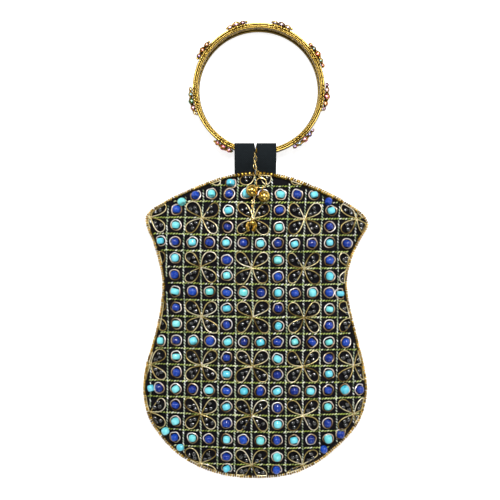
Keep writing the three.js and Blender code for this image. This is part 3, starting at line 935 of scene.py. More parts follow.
def template(name: str, rings: Sequence[tuple[float, float]], sides: int) -> bpy.types.Object:
    """Makes a turned template whose axis is X.

    Args:
        name: The object's name.
        rings: Pairs of a place on the axis and a radius, in millimetres. A radius of 0 is a pole.
        sides: Points in each ring.

    Returns:
        An object that isn't linked to the scene.
    """
    points: list[Point] = []
    starts: list[tuple[int, int]] = []
    for along, radius in rings:
        count = 1 if radius == 0 else sides
        starts.append((len(points), count))
        for k in range(count):
            angle = 2 * math.pi * k / sides
            points.append((along, radius * math.cos(angle), radius * math.sin(angle)))
    faces: list[tuple[int, ...]] = []
    for (a, na), (b, nb) in zip(starts, starts[1:]):
        for k in range(sides):
            n = (k + 1) % sides
            if na == 1:
                faces.append((a, b + n, b + k))
            elif nb == 1:
                faces.append((a + k, a + n, b))
            else:
                faces.append((a + k, a + n, b + n, b + k))
    mesh = bpy.data.meshes.new(name)
    mesh.from_pydata([tuple(c * MM for c in p) for p in points], [], faces)
    mesh.validate()
    mesh.polygons.foreach_set("use_smooth", [True] * len(mesh.polygons))
    return bpy.data.objects.new(name, mesh)


def bead_template(
    name: str, radius: float, length: float, hole: float, sides: int, profile: int, square: float = 1.0
) -> bpy.types.Object:
    """Makes a barrel bead with a hole along X, its section a closed loop.

    Args:
        name: The object's name.
        radius: Outer radius.
        length: Length along the hole.
        hole: Radius of the hole.
        sides: Points around the bead.
        profile: Points around the wall's section.
        square: Power that squares the section's corners, 1 for an ellipse.

    Returns:
        An object that isn't linked to the scene.
    """
    rings: list[tuple[float, float]] = []
    middle, wall = (radius + hole) / 2, (radius - hole) / 2
    for k in range(profile):
        angle = 2 * math.pi * k / profile
        c, s = math.cos(angle), math.sin(angle)
        round_c = math.copysign(abs(c) ** square, c)
        round_s = math.copysign(abs(s) ** square, s)
        rings.append((round_c * length / 2, middle + round_s * wall))
    points = []
    for along, r in rings:
        for k in range(sides):
            angle = 2 * math.pi * k / sides
            points.append((along * MM, r * math.cos(angle) * MM, r * math.sin(angle) * MM))
    faces = []
    for i in range(profile):
        a, b = i * sides, (i + 1) % profile * sides
        for k in range(sides):
            n = (k + 1) % sides
            faces.append((a + k, b + k, b + n, a + n))
    mesh = bpy.data.meshes.new(name)
    mesh.from_pydata(points, [], faces)
    mesh.validate()
    mesh.polygons.foreach_set("use_smooth", [True] * len(mesh.polygons))
    return bpy.data.objects.new(name, mesh)


class Workshop:
    """Makes pieces on the site: scattered templates, wires and plain meshes."""

    def __init__(self, site: Site) -> None:
        """Keeps the site.

        Args:
            site: Where the pouch lies.
        """
        self.site = site
        self.materials: dict[str, bpy.types.Material] = {}

    def paint(self, finish: Finish) -> bpy.types.Material:
        """Gives a finish's material, made once.

        Args:
            finish: The finish.

        Returns:
            The material.
        """
        if finish.name not in self.materials:
            self.materials[finish.name] = finish.material()
        return self.materials[finish.name]

    def place(self, piece: bpy.types.Object, finish: Finish, *replaced: str) -> bpy.types.Object:
        """Args:
            piece: The piece.
            finish: What it is made of.
            replaced: CAD nodes that it stands for.

        Returns:
            The piece.
        """
        if not piece.data.materials:
            piece.data.materials.append(self.paint(finish))
        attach(piece, "root")
        if replaced:
            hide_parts(*replaced)
        log.info("%s: %d faces", piece.name, len(piece.data.polygons))
        return piece

    def scatter(self, name: str, spots: Sequence[Spot], shape: bpy.types.Object, finish: Finish) -> bpy.types.Object:
        """Stands a template on every spot.

        Args:
            name: The piece's name.
            spots: The places.
            shape: The template.
            finish: What it is made of.

        Returns:
            The piece.
        """
        carrier = self.site.mesh(name, np.array([s.at for s in spots]), [])
        mesh = carrier.data
        for label in ("along", "up", "size"):
            values = np.array([getattr(s, label) for s in spots], float).ravel()
            mesh.attributes.new(label, "FLOAT_VECTOR", "POINT").data.foreach_set("vector", values)
        tones = mesh.attributes.new("tone", "FLOAT", "POINT")
        tones.data.foreach_set("value", [s.tone for s in spots])
        values = {"Template": shape, "Material": self.paint(finish)}
        return baked(carrier, TREES["scatter"], values)

    def wire(
        self,
        name: str,
        paths: Sequence[np.ndarray],
        radius: float,
        sides: int,
        finish: Finish,
        tones: Sequence[float | np.ndarray] | None = None,
        closed: bool = False,
    ) -> bpy.types.Object:
        """Makes round wires along paths.

        Args:
            name: The piece's name.
            paths: Arrays of places.
            radius: The wire's radius.
            sides: Sides of the wire.
            finish: What it is made of.
            tones: A tone for each path, or one for each of its points.
            closed: Whether each path comes back to its start.

        Returns:
            The piece.
        """
        points = np.concatenate(paths)
        edges, tone, start = [], [], 0
        for number, path in enumerate(paths):
            count = len(path)
            edges += [(start + k, start + k + 1) for k in range(count - 1)]
            if closed:
                edges.append((start + count - 1, start))
            tone += list(np.broadcast_to(tones[number] if tones is not None else 0.5, count))
            start += count
        mesh = bpy.data.meshes.new(name)
        mesh.from_pydata(self.site.metres(points).tolist(), edges, [])
        mesh.attributes.new("tone", "FLOAT", "POINT").data.foreach_set("value", tone)
        carrier = bpy.data.objects.new(name, mesh)
        bpy.context.scene.collection.objects.link(carrier)
        values = {"Radius": radius * MM, "Sides": sides, "Material": self.paint(finish)}
        return baked(carrier, TREES["wire"], values)


# Cloth panels and edging
@dataclass
class ClothShell:
    """Points and faces of a closed sheet made of rings round a centre, with an upper and a lower side."""

    pouch: Pouch
    rings: int = 52
    around: int = 320
    rim_inset: float = 0.4

    def flat(self, edge_inset: float) -> np.ndarray:
        """Gives the places of one side: the centre, ring after ring, and a rim under the edging.

        Args:
            edge_inset: Distance of the last ring but one from the outline.

        Returns:
            An array of X and Y.
        """
        edge = self.pouch.inset(edge_inset, self.around)
        centre = np.array([0.0, self.pouch.height * 0.5])
        shares = np.linspace(0, 1, self.rings)[1:]
        shares = 1 - (1 - shares) ** 1.15
        rings = [centre + (edge - centre) * share for share in shares]
        rings.append(self.pouch.inset(self.rim_inset, self.around))
        return np.concatenate([centre[None, :], *rings])

    def faces(self, count: int) -> list[tuple[int, ...]]:
        """Gives the faces of both sides and of the rim between them.

        Args:
            count: Points in one side.

        Returns:
            The faces.
        """
        n = self.around
        faces: list[tuple[int, ...]] = []
        for k in range(n):
            m = (k + 1) % n
            faces.append((0, 1 + k, 1 + m))
            faces.append((count, count + 1 + m, count + 1 + k))
            for ring in range(self.rings - 1):
                a, b = 1 + ring * n, 1 + (ring + 1) * n
                faces.append((a + k, b + k, b + m, a + m))
                faces.append((count + a + m, count + b + m, count + b + k, count + a + k))
            last = 1 + (self.rings - 1) * n
            faces.append((last + m, last + k, count + last + k, count + last + m))
        return faces


@dataclass
class FrontCloth:
    """The black ground cloth, puffed a little in each cell between the couched cords."""

    grid: Grid
    puff: float = 0.35
    wall: float = 1.6
    rim_drop: float = 2.2

    def build(self, shop: Workshop) -> bpy.types.Object:
        """Makes and dresses the cloth.

        Args:
            shop: The workshop.

        Returns:
            The piece.
        """
        pouch = self.grid.pouch
        shell = ClothShell(pouch, rings=60, around=360)
        flat = shell.flat(pouch.edging + pouch.seat)
        x, y = flat[:, 0], flat[:, 1]
        top = pouch.front(x, y)
        column = (x - self.grid.first_x) / self.grid.pitch_x
        row = (self.grid.first_up - y) / self.grid.pitch_y
        cell = np.abs(np.sin(math.pi * column) * np.sin(math.pi * row)) ** 0.5
        top = top - self.puff * (1 - cell) + 0.05
        top[-shell.around :] = top[-2 * shell.around : -shell.around] - self.rim_drop
        upper = np.stack([x, y, top], axis=1)
        lower = np.stack([x, y, top - self.wall], axis=1)
        cloth = shop.site.mesh("ground_cloth", np.concatenate([upper, lower]), shell.faces(len(flat)))
        shop.place(cloth, GROUND_CLOTH, "front_panel")
        width, length, area = cut_size(shell, pouch)
        return cloth


def cut_size(shell: ClothShell, pouch: Pouch) -> tuple[float, float, float]:
    """Gives the size a panel's cloth is cut to, out to its edge under the edging.

    Args:
        shell: The cloth's shell.
        pouch: The pouch.

    Returns:
        Width and length in metres and area in square metres.
    """
    edge = pouch.inset(shell.rim_inset, shell.around) * MM
    after = np.roll(edge, -1, axis=0)
    width, length = np.ptp(edge, axis=0)
    area = abs((edge[:, 0] * after[:, 1] - after[:, 0] * edge[:, 1]).sum()) / 2
    return float(width), float(length), float(area)


@dataclass
class BackCloth:
    """The plain cloth of the back, flat on the floor and curled up at its edge."""

    pouch: Pouch

    def build(self, shop: Workshop) -> bpy.types.Object:
        """Makes and dresses the cloth.

        Args:
            shop: The workshop.

        Returns:
            The piece.
        """
        shell = ClothShell(self.pouch, rings=24, around=240)
        flat = shell.flat(self.pouch.edging + self.pouch.seat)
        x, y = flat[:, 0], flat[:, 1]
        under = np.maximum(self.pouch.back(x, y), 0.02)
        under[-shell.around :] = under[-2 * shell.around : -shell.around]
        upper = np.stack([x, y, under + self.pouch.back_wall], axis=1)
        lower = np.stack([x, y, under], axis=1)
        cloth = shop.site.mesh("back_cloth", np.concatenate([upper, lower]), shell.faces(len(flat)))
        shop.place(cloth, BACK_CLOTH, "back_panel")
        width, length, area = cut_size(shell, self.pouch)
        return cloth


@dataclass
class Edging:
    """Gold seed beads round the seam and the lip, closer at the sides than at the top's middle."""

    pouch: Pouch
    pitch: float = 1.3
    top_pitch: float = 2.0
    top_half: float = 11.4
    oval_from: float = 11.4
    oval_to: float = 48.0
    radius: float = 1.05
    inset: float = 0.55
    lift: float = 2.1

    def height(self, x: np.ndarray, y: np.ndarray) -> np.ndarray:
        """Gives the height of the beads' middles.

        Args:
            x: X of the places.
            y: Y of the places.

        Returns:
            The heights.
        """
        pouch = self.pouch
        return pouch.seam_top - pouch.front_wall + (pouch.mouth_lift + pouch.front_wall / 2) * pouch.mouth(x, y)

    def build(self, shop: Workshop) -> bpy.types.Object:
        """Strings the beads.

        Args:
            shop: The workshop.

        Returns:
            The piece.
        """
        count = 6000
        line = self.pouch.inset(self.inset, count)
        z = self.height(line[:, 0], line[:, 1]) + self.lift
        path = np.column_stack([line, z])
        rng = np.random.default_rng(SEED)
        spots: list[Spot] = []
        run, wanted = 0.0, 0.0
        for k in range(count):
            here, after = path[k], path[(k + 1) % count]
            at_top = here[1] > 0.9 * self.pouch.height and abs(here[0]) < self.top_half
            oval = here[1] > 0.8 * self.pouch.height and self.oval_from <= here[0] < self.oval_to
            if run >= wanted:
                along = after - here
                along /= np.linalg.norm(along)
                if oval:
                    along = rotate_z(along, math.radians(-14))
                length = 1.25 if at_top else 0.86
                width = 1.3 if oval else 1.1 if at_top else 0.92
                wobble = 1 + 0.05 * rng.standard_normal()
                jitter = 0.06 * rng.standard_normal(3)
                spots.append(
                    Spot(here + jitter, along, np.array([0, 0, 1.0]), (length, width * wobble, wobble), rng.random())
                )
                wanted += self.top_pitch if at_top else self.pitch
            run += float(np.linalg.norm(after - here))
        shape = bead_template("edge_bead", self.radius, 1.25, 0.25, 9, 6, 0.9)
        beads = shop.scatter("edge_beads", spots, shape, GOLD_BEADS)
        return shop.place(beads, GOLD_BEADS, "bead_edging")


def rotate_z(vector: np.ndarray, angle: float) -> np.ndarray:
    """Turns a vector round Z.

    Args:
        vector: The vector.
        angle: Radians.

    Returns:
        The turned vector.
    """
    c, s = math.cos(angle), math.sin(angle)
    return np.array([c * vector[0] - s * vector[1], s * vector[0] + c * vector[1], vector[2]])


# Embroidery on the front
@dataclass
class Embroidery:
    """Cords, wires and beads sewn on the front."""

    grid: Grid
    shop: Workshop
    stitch_pitch: float = 1.62
    stitch_length: float = 1.7
    stitch_width: float = 0.68
    ring_radius: float = 2.9
    ring_wire: float = 0.56
    petal_length: float = 10.9
    petal_half: float = 2.85
    petal_wire: float = 0.52
    clear: float = 1.9
    past: float = 3.5
    ring_past: float = -2.0
    petal_clear: float = -0.8
    petal_share: float = 0.2
    seed_clear: float = 0.3
    seed_past: float = 1.6
    rng: np.random.Generator = field(default_factory=lambda: np.random.default_rng(SEED))

    def lifted(self, flat: np.ndarray, lift: float) -> np.ndarray:
        """Puts flat places on the front cloth.

        Args:
            flat: An array of X and Y.
            lift: Distance above the cloth, along Z.

        Returns:
            An array of places.
        """
        return np.column_stack([flat, self.grid.pouch.front(flat[:, 0], flat[:, 1]) + lift])

    def cord(self, axis: Axis, number: int) -> list[Spot]:
        """Lays the stitches of one cord.

        Args:
            axis: Which way it runs.
            number: The cord's number in the grid.

        Returns:
            One spot for each stitch.
        """
        t = np.linspace(-2, 22, 1400)
        still = np.full(len(t), float(number))
        flat = self.grid.place(still, t) if axis is Axis.UPRIGHT else self.grid.place(t, still)
        step = np.linalg.norm(np.diff(flat, axis=0), axis=1)
        run = np.concatenate([[0.0], np.cumsum(step)])
        wanted = np.arange(self.rng.random(), run[-1], self.stitch_pitch)
        flat = np.column_stack([np.interp(wanted, run, flat[:, 0]), np.interp(wanted, run, flat[:, 1])])
        wave = 0.12 * np.sin(wanted / 7 + number * 1.7) + 0.06 * self.rng.standard_normal(len(wanted))
        flat[:, 0 if axis is Axis.UPRIGHT else 1] += wave
        pouch = self.grid.pouch
        keep = pouch.inside(flat[:, 0], flat[:, 1])
        keep &= pouch.depth(flat[:, 0], flat[:, 1]) > 0.15
        if keep.sum() < 4:
            return []
        flat = flat[keep]
        lift = 0.3 if axis is Axis.UPRIGHT else 0.45
        places = self.lifted(flat, lift)
        along = np.gradient(places, axis=0)
        up = pouch.up(flat[:, 0], flat[:, 1])
        slant = math.radians(30)
        spots = []
        for k, place in enumerate(places):
            turned = rotate_z(along[k] / np.linalg.norm(along[k]), slant + 0.08 * self.rng.standard_normal())
            grow = 1 + 0.1 * self.rng.standard_normal()
            size = (self.stitch_length * grow, self.stitch_width * grow, self.stitch_width)
            tone = 0.25 * (k % 2) + 0.8 * self.rng.random() ** 1.1
            spots.append(Spot(place, turned, up[k], size, min(1.0, tone)))
        return spots

    def cords(self, axis: Axis, finish: Finish) -> bpy.types.Object:
        """Lays all cords that run one way.

        Args:
            axis: Which way.
            finish: Their thread.

        Returns:
            The piece.
        """
        first, last = self.grid.columns if axis is Axis.UPRIGHT else self.grid.rows
        spots = [spot for number in range(first, last + 2) for spot in self.cord(axis, number)]
        shape = template("stitch", [(-0.5, 0), (-0.36, 0.36), (0, 0.5), (0.36, 0.36), (0.5, 0)], 6)
        name = "grid_cords_" + axis.name.lower()
        return self.shop.place(self.shop.scatter(name, spots, shape, finish), finish)

    def bead_rings(self, middles: np.ndarray) -> bpy.types.Object:
        """Bends a wire ring round each bead, its ends crossing at the upper right, its tone lighter towards the upper
        right as a painted highlight.

        Args:
            middles: X and Y of the beads.

        Returns:
            The piece.
        """
        paths, tones = [], []
        for middle in middles:
            start = math.radians(50 + 25 * self.rng.standard_normal())
            angles = np.linspace(start, start + math.radians(376), 30)
            corners = self.rng.integers(3, 6)
            lean, phase = 0.02 + 0.04 * self.rng.random(), 2 * math.pi * self.rng.random()
            radius = self.ring_radius * (1 + lean * np.cos(corners * angles + phase))
            radius *= 1 + 0.04 * np.cos(2 * angles + 2 * math.pi * self.rng.random())
            radius += np.linspace(-0.12, 0.3, 30) ** 3 * 8
            flat = middle + radius[:, None] * np.stack([np.cos(angles), np.sin(angles)], axis=1)
            path = self.lifted(self.grid.pouch.pushed(flat, 0.3)[0], 0.75)
            path[:, 2] += np.linspace(-0.15, 0.25, 30)
            paths.append(path)
            # Painted highlight: each ring's tone is raised towards one side, about the upper right, on top of its
            # random tone.
            painted_highlight = 0.4 * np.cos(angles - math.radians(70 + 50 * self.rng.standard_normal()))
            tones.append(np.clip(0.3 + 0.45 * self.rng.random() + painted_highlight, 0, 1))
        rings = self.shop.wire("bead_rings", paths, self.ring_wire / 2, 8, RING_WIRE, tones)
        return self.shop.place(rings, RING_WIRE)

    def beads(self, name: str, middles: np.ndarray, shape: bpy.types.Object, finish: Finish) -> bpy.types.Object:
        """Sews round beads, their holes lying along the cloth.

        Args:
            name: The piece's name.
            middles: X and Y of the beads.
            shape: The bead.
            finish: Its glass.

        Returns:
            The piece.
        """
        places = self.lifted(middles, 1.75)
        ups = self.grid.pouch.up(middles[:, 0], middles[:, 1])
        spots = []
        for place, up in zip(places, ups):
            angle = math.radians(90 + 13 * self.rng.standard_normal())
            along = np.array([math.cos(angle), math.sin(angle), 0.42 * self.rng.standard_normal()])
            along -= up * 0.6 * float(along @ up)
            tilted = up + 0.2 * self.rng.standard_normal(3)
            size = tuple(1 + 0.07 * self.rng.standard_normal(3))
            spots.append(Spot(place, along, np.cross(np.cross(along, tilted), along), size, self.rng.random()))
        return self.shop.place(self.shop.scatter(name, spots, shape, finish), finish)

    def petals(self) -> list[tuple[np.ndarray, np.ndarray]]:
        """Finds the petals that lie on the cloth.

        Returns:
            Pairs of a tip and a unit direction, both X and Y.
        """
        found = []
        block = self.grid.block
        for k in range(self.grid.columns[0] - 1, self.grid.columns[1] + 3):
            for m in range(self.grid.rows[0] - 1, self.grid.rows[1] + 3):
                if k % block != 2 or m % block != 2:
                    continue
                for a in (-1, 1):
                    for b in (-1, 1):
                        tip = self.grid.place(k, m)
                        far = self.grid.place(k + a, m + b)
                        way = (far - tip) / np.linalg.norm(far - tip)
                        found.append((tip, way))
        return found

    def petal_path(self, tip: np.ndarray, way: np.ndarray) -> np.ndarray:
        """Bends one petal's wire loop.

        Args:
            tip: The flower's middle.
            way: The petal's direction.

        Returns:
            An array of X and Y.
        """
        turns = np.linspace(0.0, 2 * math.pi, 30)
        length = self.petal_length * (1 + 0.03 * self.rng.standard_normal())
        half = self.petal_half * (1 + 0.07 * self.rng.standard_normal())
        out = 0.25 + length * (1 - np.cos(turns)) / 2
        across = half / 0.727 * np.sin(turns) * np.abs(np.sin(turns / 2)) ** 1.2
        bend = 0.5 * self.rng.standard_normal() * np.sin(np.clip(out / length, 0, 1) * math.pi)
        side = np.array([-way[1], way[0]])
        return tip + out[:, None] * way + (across + bend)[:, None] * side

    def flowers(self) -> None:
        """Makes the petal wires and the black beads inside them."""
        pouch = self.grid.pouch
        petals = self.petals()
        loops = np.stack([self.petal_path(tip, way) for tip, way in petals])
        pressed, deep = pouch.pushed(loops.reshape(-1, 2), self.petal_clear)
        pressed, deep = pressed.reshape(loops.shape), deep.reshape(loops.shape[:2])
        paths, tones, seats = [], [], []
        for (tip, way), loop, depth in zip(petals, pressed, deep):
            if (depth > self.petal_clear).mean() < self.petal_share:
                continue
            paths.append(self.lifted(loop, 1.5))
            turns = np.linspace(0, 2 * math.pi, len(loop)) + 2 * math.pi * self.rng.random()
            tones.append(np.clip(0.2 + 0.5 * self.rng.random() + 0.35 * np.sin(turns), 0, 1))
            side = np.array([-way[1], way[0]])
            for out, aside in ((4.2, 0.0), (6.5, -1.2), (7.7, 1.1)):
                spread = 0.15 * self.rng.standard_normal(2)
                seats.append(tip + way * (out + spread[0]) + side * (aside + spread[1]))
        seats, deep = pouch.pushed(np.array(seats), self.seed_clear)
        seats = seats[deep > -self.seed_past]
        spots = []
        for place, up in zip(self.lifted(seats, 0.85), pouch.up(seats[:, 0], seats[:, 1])):
            angle = 2 * math.pi * self.rng.random()
            along = np.array([math.cos(angle), math.sin(angle), 0.25 * self.rng.standard_normal()])
            size = tuple(1 + 0.06 * self.rng.standard_normal(3))
            spots.append(Spot(place, along, up, size, self.rng.random()))
        wires = self.shop.wire("petal_wires", paths, self.petal_wire / 2, 6, PETAL_WIRE, tones)
        self.shop.place(wires, PETAL_WIRE)
        shape = bead_template("jet_bead", 1.3, 2.1, 0.25, 12, 10)
        self.shop.place(self.shop.scatter("black_beads", spots, shape, JET), JET)

    def build(self) -> None:
        """Makes all of the embroidery."""
        self.cords(Axis.UPRIGHT, CORD_UPRIGHT)
        self.cords(Axis.LEVEL, CORD_LEVEL)
        cells, middles, deep = self.grid.beads(self.clear, self.past)
        middles += 0.18 * self.rng.standard_normal(middles.shape)
        odd = np.array([(i + j) % 2 == 1 for i, j in cells])
        self.bead_rings(middles[deep > self.ring_past])
        barrel = bead_template("turquoise_bead", 2.2, 3.3, 0.5, 18, 12, 0.9)
        rounder = bead_template("cobalt_bead", 2.2, 3.6, 0.35, 18, 12)
        self.beads("turquoise_beads", middles[~odd], barrel, TURQUOISE)
        self.beads("cobalt_beads", middles[odd], rounder, COBALT)
        self.flowers()


# Ribbon tabs
@dataclass
class RibbonTab:
    """One grosgrain tab, folded over the bangle and sewn inside the mouth."""

    pouch: Pouch
    side: int
    width: float = 10.9
    wall: float = 1.0
    split: float = 1.5
    middle_x: float = -0.3
    lip_y: float = 168.8
    lip_top: float = 7.4
    crest_y: float = 179.8
    top: float = 12.0
    fold_y: float = 187.8
    tail: float = 16.0
    tail_top: float = 9.5
    rib_pitch: float = 0.75
    rib_depth: float = 0.09
    columns: int = 12

    def line(self) -> np.ndarray:
        """Gives the middle line of the ribbon from the side, from the upper tail round to the lower one.

        Returns:
            An array of Y and Z.
        """
        half = self.wall / 2
        low = half
        corners = [
            (self.lip_y - self.tail, self.tail_top - half),
            (self.lip_y, self.lip_top - half),
            (self.pouch.height, self.lip_top - half + 0.1),
            (self.crest_y, self.top - half),
            (self.fold_y - 1.6, self.top - half),
            (self.fold_y - half, self.top - 1.8),
            (self.fold_y - half, low + 1.6),
            (self.fold_y - 1.9, low),
            (self.crest_y - 1.0, low),
            (self.pouch.height, self.lip_top - half - self.wall),
            (self.lip_y, self.lip_top - half - self.wall),
            (self.lip_y - self.tail, self.tail_top - half - self.wall),
        ]
        points = np.array(corners)
        for _ in range(3):
            before, after = points[:-1], points[1:]
            cut = np.empty((2 * len(before), 2))
            cut[0::2] = 0.75 * before + 0.25 * after
            cut[1::2] = 0.25 * before + 0.75 * after
            points = np.concatenate([points[:1], cut, points[-1:]])
        run = np.concatenate([[0.0], np.cumsum(np.linalg.norm(np.diff(points, axis=0), axis=1))])
        wanted = np.linspace(0, run[-1], int(run[-1] / self.rib_pitch * 4))
        return np.stack([np.interp(wanted, run, points[:, k]) for k in (0, 1)], axis=1)

    def build(self, shop: Workshop) -> bpy.types.Object:
        """Makes and dresses the tab.

        Args:
            shop: The workshop.

        Returns:
            The piece.
        """
        line = self.line()
        along = np.gradient(line, axis=0)
        along /= np.linalg.norm(along, axis=1)[:, None]
        normal = np.stack([-along[:, 1], along[:, 0]], axis=1)
        run = np.arange(len(line)) / 4
        rib = self.rib_depth * (0.5 + 0.5 * np.cos(2 * math.pi * run))
        n = self.columns + 1
        rows = []
        for sign in (1, -1):
            offset = line + sign * normal * (self.wall / 2 - rib)[:, None]
            for k in range(n) if sign > 0 else range(n - 1, -1, -1):
                share = k / self.columns
                near = np.clip((self.fold_y - line[:, 0]) / 3.6, 0, 1)
                inner = self.split / 2 * (1 - 0.9 * near * near * (3 - 2 * near))
                x = inner + (self.split / 2 + self.width - inner) * share
                rows.append(np.column_stack([self.middle_x + self.side * x, offset]))
        points = np.stack(rows, axis=1).reshape(-1, 3)
        loop = 2 * n
        faces: list[tuple[int, ...]] = []
        for ring in range(len(line) - 1):
            for k in range(loop):
                m = (k + 1) % loop
                a, b = ring * loop, (ring + 1) * loop
                face = (a + k, a + m, b + m, b + k)
                faces.append(face if self.side > 0 else face[::-1])
        ends = [tuple(range(loop))[::-1], tuple((len(line) - 1) * loop + k for k in range(loop))]
        faces += [end if self.side > 0 else end[::-1] for end in ends]
        name = "left" if self.side < 0 else "right"
        tab = shop.site.mesh("ribbon_" + name, points, faces)
        shop.place(tab, GROSGRAIN, "ribbon_tab_" + name)
        return tab


# Bangle
@dataclass(frozen=True)
class Cluster:
    """One jewelled cluster of the bangle: its angle in degrees and its stones' colours, in order."""

    angle: float
    span: float
    stones: tuple[str, ...]


CLUSTERS = (
    Cluster(353, 13.0, ("b83a52", "e8c0c0", "d07a30", "8a5a78")),
    Cluster(30, 12.0, ("c23a1a", "1c4a48", "2e6a50", "b04028")),
    Cluster(70, 11.0, ("8a7486", "6a6074", "a08c98", "7a6a70")),
    Cluster(109, 11.0, ("a0688a", "b88aa0", "8a5a74", "c09aa8")),
    Cluster(145, 11.0, ("b05a24", "5a3470", "c07840", "6a4080")),
    Cluster(190, 14.0, ("2e7a4e", "d08a90", "2a6a70", "c0a060")),
    Cluster(238, 10.5, ("b8284a", "d87a90", "a02040", "e0a0a8")),
    Cluster(312, 13.0, ("c87890", "4a48a0", "5a7a86", "8a60a0")),
)


@dataclass
class Bangle:
    """The bangle: two ridged rails, a granulated wire between them and eight jewelled clusters."""

    inner: float = 33.4
    radial: float = 3.1
    axial: float = 2.7
    band: float = 9.4
    middle_x: float = 1.6
    middle_y: float = 218.1
    rest: float = 1.3
    wire_z: float = 1.1
    steps: int = 160
    upper_out: float = 0.5
    stone_lean: float = 50.0

    @property
    def outer(self) -> float:
        """Radius of the band's outside."""
        return self.inner + self.radial

    def lie(self, points: np.ndarray) -> np.ndarray:
        """Moves points from round the bangle's own middle to where it lies.

        Args:
            points: Places with the bangle's axis along Z.

        Returns:
            Places in the pouch's frame.
        """
        tilt = math.asin(self.rest / (2 * self.outer))
        rise = self.outer * math.sin(tilt) + self.band / 2 * math.cos(tilt)
        c, s = math.cos(-tilt), math.sin(-tilt)
        turned = np.array(points, float)
        y, z = turned[:, 1].copy(), turned[:, 2].copy()
        turned[:, 1] = c * y - s * z + self.middle_y
        turned[:, 2] = s * y + c * z + rise
        turned[:, 0] += self.middle_x
        return turned

    def lathe(self, shop: Workshop, name: str, profiles: Sequence[Sequence[Point]]) -> bpy.types.Object:
        """Turns closed profiles round the bangle's axis.

        Args:
            shop: The workshop.
            name: The piece's name.
            profiles: Lists of radius, height and tone, counter-clockwise.

        Returns:
            The piece.
        """
        points, faces, tones = [], [], []
        for profile in profiles:
            start, n = len(points), len(profile)
            for k in range(self.steps):
                angle = 2 * math.pi * k / self.steps
                points += [(r * math.cos(angle), r * math.sin(angle), z) for r, z, _ in profile]
                tones += [tone for _, _, tone in profile]
            for k in range(self.steps):
                a, b = start + k * n, start + (k + 1) % self.steps * n
                faces += [(a + i, b + i, b + (i + 1) % n, a + (i + 1) % n) for i in range(n)]
        made = shop.site.mesh(name, self.lie(np.array(points)), faces)
        made.data.attributes.new("tone", "FLOAT", "POINT").data.foreach_set("value", tones)
        return made

    def rails(self, shop: Workshop) -> None:
        """Makes the two rails, each with three ridges on its faces.

        Args:
            shop: The workshop.
        """
        half = self.axial / 2
        height = self.band / 2 - half
        # place across the rail, share of its half height, and tone; the tone is low in the grooves and high on the
        # ridge crests: tarnish and painted shade in the grooves, painted highlights on the crests
        steps = ((0.0, 0.15, 0.4), (0.1, 0.6, 0.6), (0.38, 0.88, 0.9), (0.66, 0.84, 0.6), (0.86, 0.74, 0.2))
        steps += ((1.06, 0.84, 0.5), (1.3, 0.94, 0.9), (1.54, 0.86, 0.5), (1.76, 0.74, 0.15))
        steps += ((2.0, 0.88, 0.5), (2.2, 0.97, 0.8), (2.5, 1.0, 1.0), (2.8, 0.9, 0.9), (3.0, 0.5, 0.6))
        steps += ((3.1, 0.15, 0.4),)
        profiles = []
        for middle, out in ((height, self.upper_out), (-height, 0.0)):
            start = self.inner + out
            lower = [(start + r, middle - z * half, tone) for r, z, tone in steps]
            upper = [(start + r, middle + z * half, tone) for r, z, tone in reversed(steps)]
            profiles.append(lower + upper)
        rails = self.lathe(shop, "bangle_rails", profiles)
        shop.place(rails, RAIL_GOLD, "bangle")

    def web(self, shop: Workshop) -> None:
        """Makes the thin wall between the rails that the granules and clusters sit on.

        Args:
            shop: The workshop.
        """
        radius = self.inner + self.radial / 2
        reach = self.band / 2 - self.axial
        corners = ((-0.3, -reach), (0.3, -reach), (0.3, reach), (-0.3, reach))
        profile = [(radius + r, z, 0.3) for r, z in corners]
        shop.place(self.lathe(shop, "bangle_web", [profile]), RAIL_GOLD)

    def around(self, angle: float, radius: float, height: float) -> tuple[np.ndarray, np.ndarray]:
        """Gives a place on the band and the direction out of it.

        Args:
            angle: Radians round the axis.
            radius: Distance from the axis.
            height: Height along the axis.

        Returns:
            The place and the direction.
        """
        out = np.array([[math.cos(angle), math.sin(angle), 0.0]])
        place = self.lie(out * radius + np.array([0, 0, height]))[0]
        base = self.lie(np.zeros((1, 3)))[0]
        return place, self.lie(out)[0] - base

    def granules(self, shop: Workshop) -> None:
        """Sets the round granules: a line round the band and rows at every cluster.

        Args:
            shop: The workshop.
        """
        rng = np.random.default_rng(SEED + 1)
        spots = []

        def add(angle: float, radius: float, height: float, size: float) -> None:
            place, out = self.around(angle, radius, height)
            scale = size * (1 + 0.08 * rng.standard_normal())
            spots.append(Spot(place, out, np.array([0, 0, 1.0]), (scale, scale, scale), rng.random()))

        count = int(2 * math.pi * self.outer / 1.15)
        for k in range(count):
            for radius in (self.outer - 1.0, self.inner + 0.9):
                add(2 * math.pi * k / count, radius, self.wire_z, 1.0)
        top = self.band / 2
        for cluster in CLUSTERS:
            middle = math.radians(cluster.angle)
            half = cluster.span / self.outer / 2
            # distance from the axis, height, size, and how far the row is cut short
            rows = ((self.outer - 1.5, top + 0.1, 1.15, 0.5), (self.outer - 0.2, top + 0.1, 1.3, 0.9))
            rows += ((self.outer + 0.8, -top + 1.2, 1.2, 1.0), (self.outer + 1.9, top - 2.6, 1.3, 1.0))
            for radius, height, size, share in rows:
                number = int(cluster.span * share / 1.75)
                for k in range(number + 1):
                    add(middle + half * share * (2 * k / number - 1), radius, height, size)
        shape = template("granule", ball_rings(0.5, 6), 8)
        shop.place(shop.scatter("bangle_granules", spots, shape, GOLD_BEADS), GOLD_BEADS)

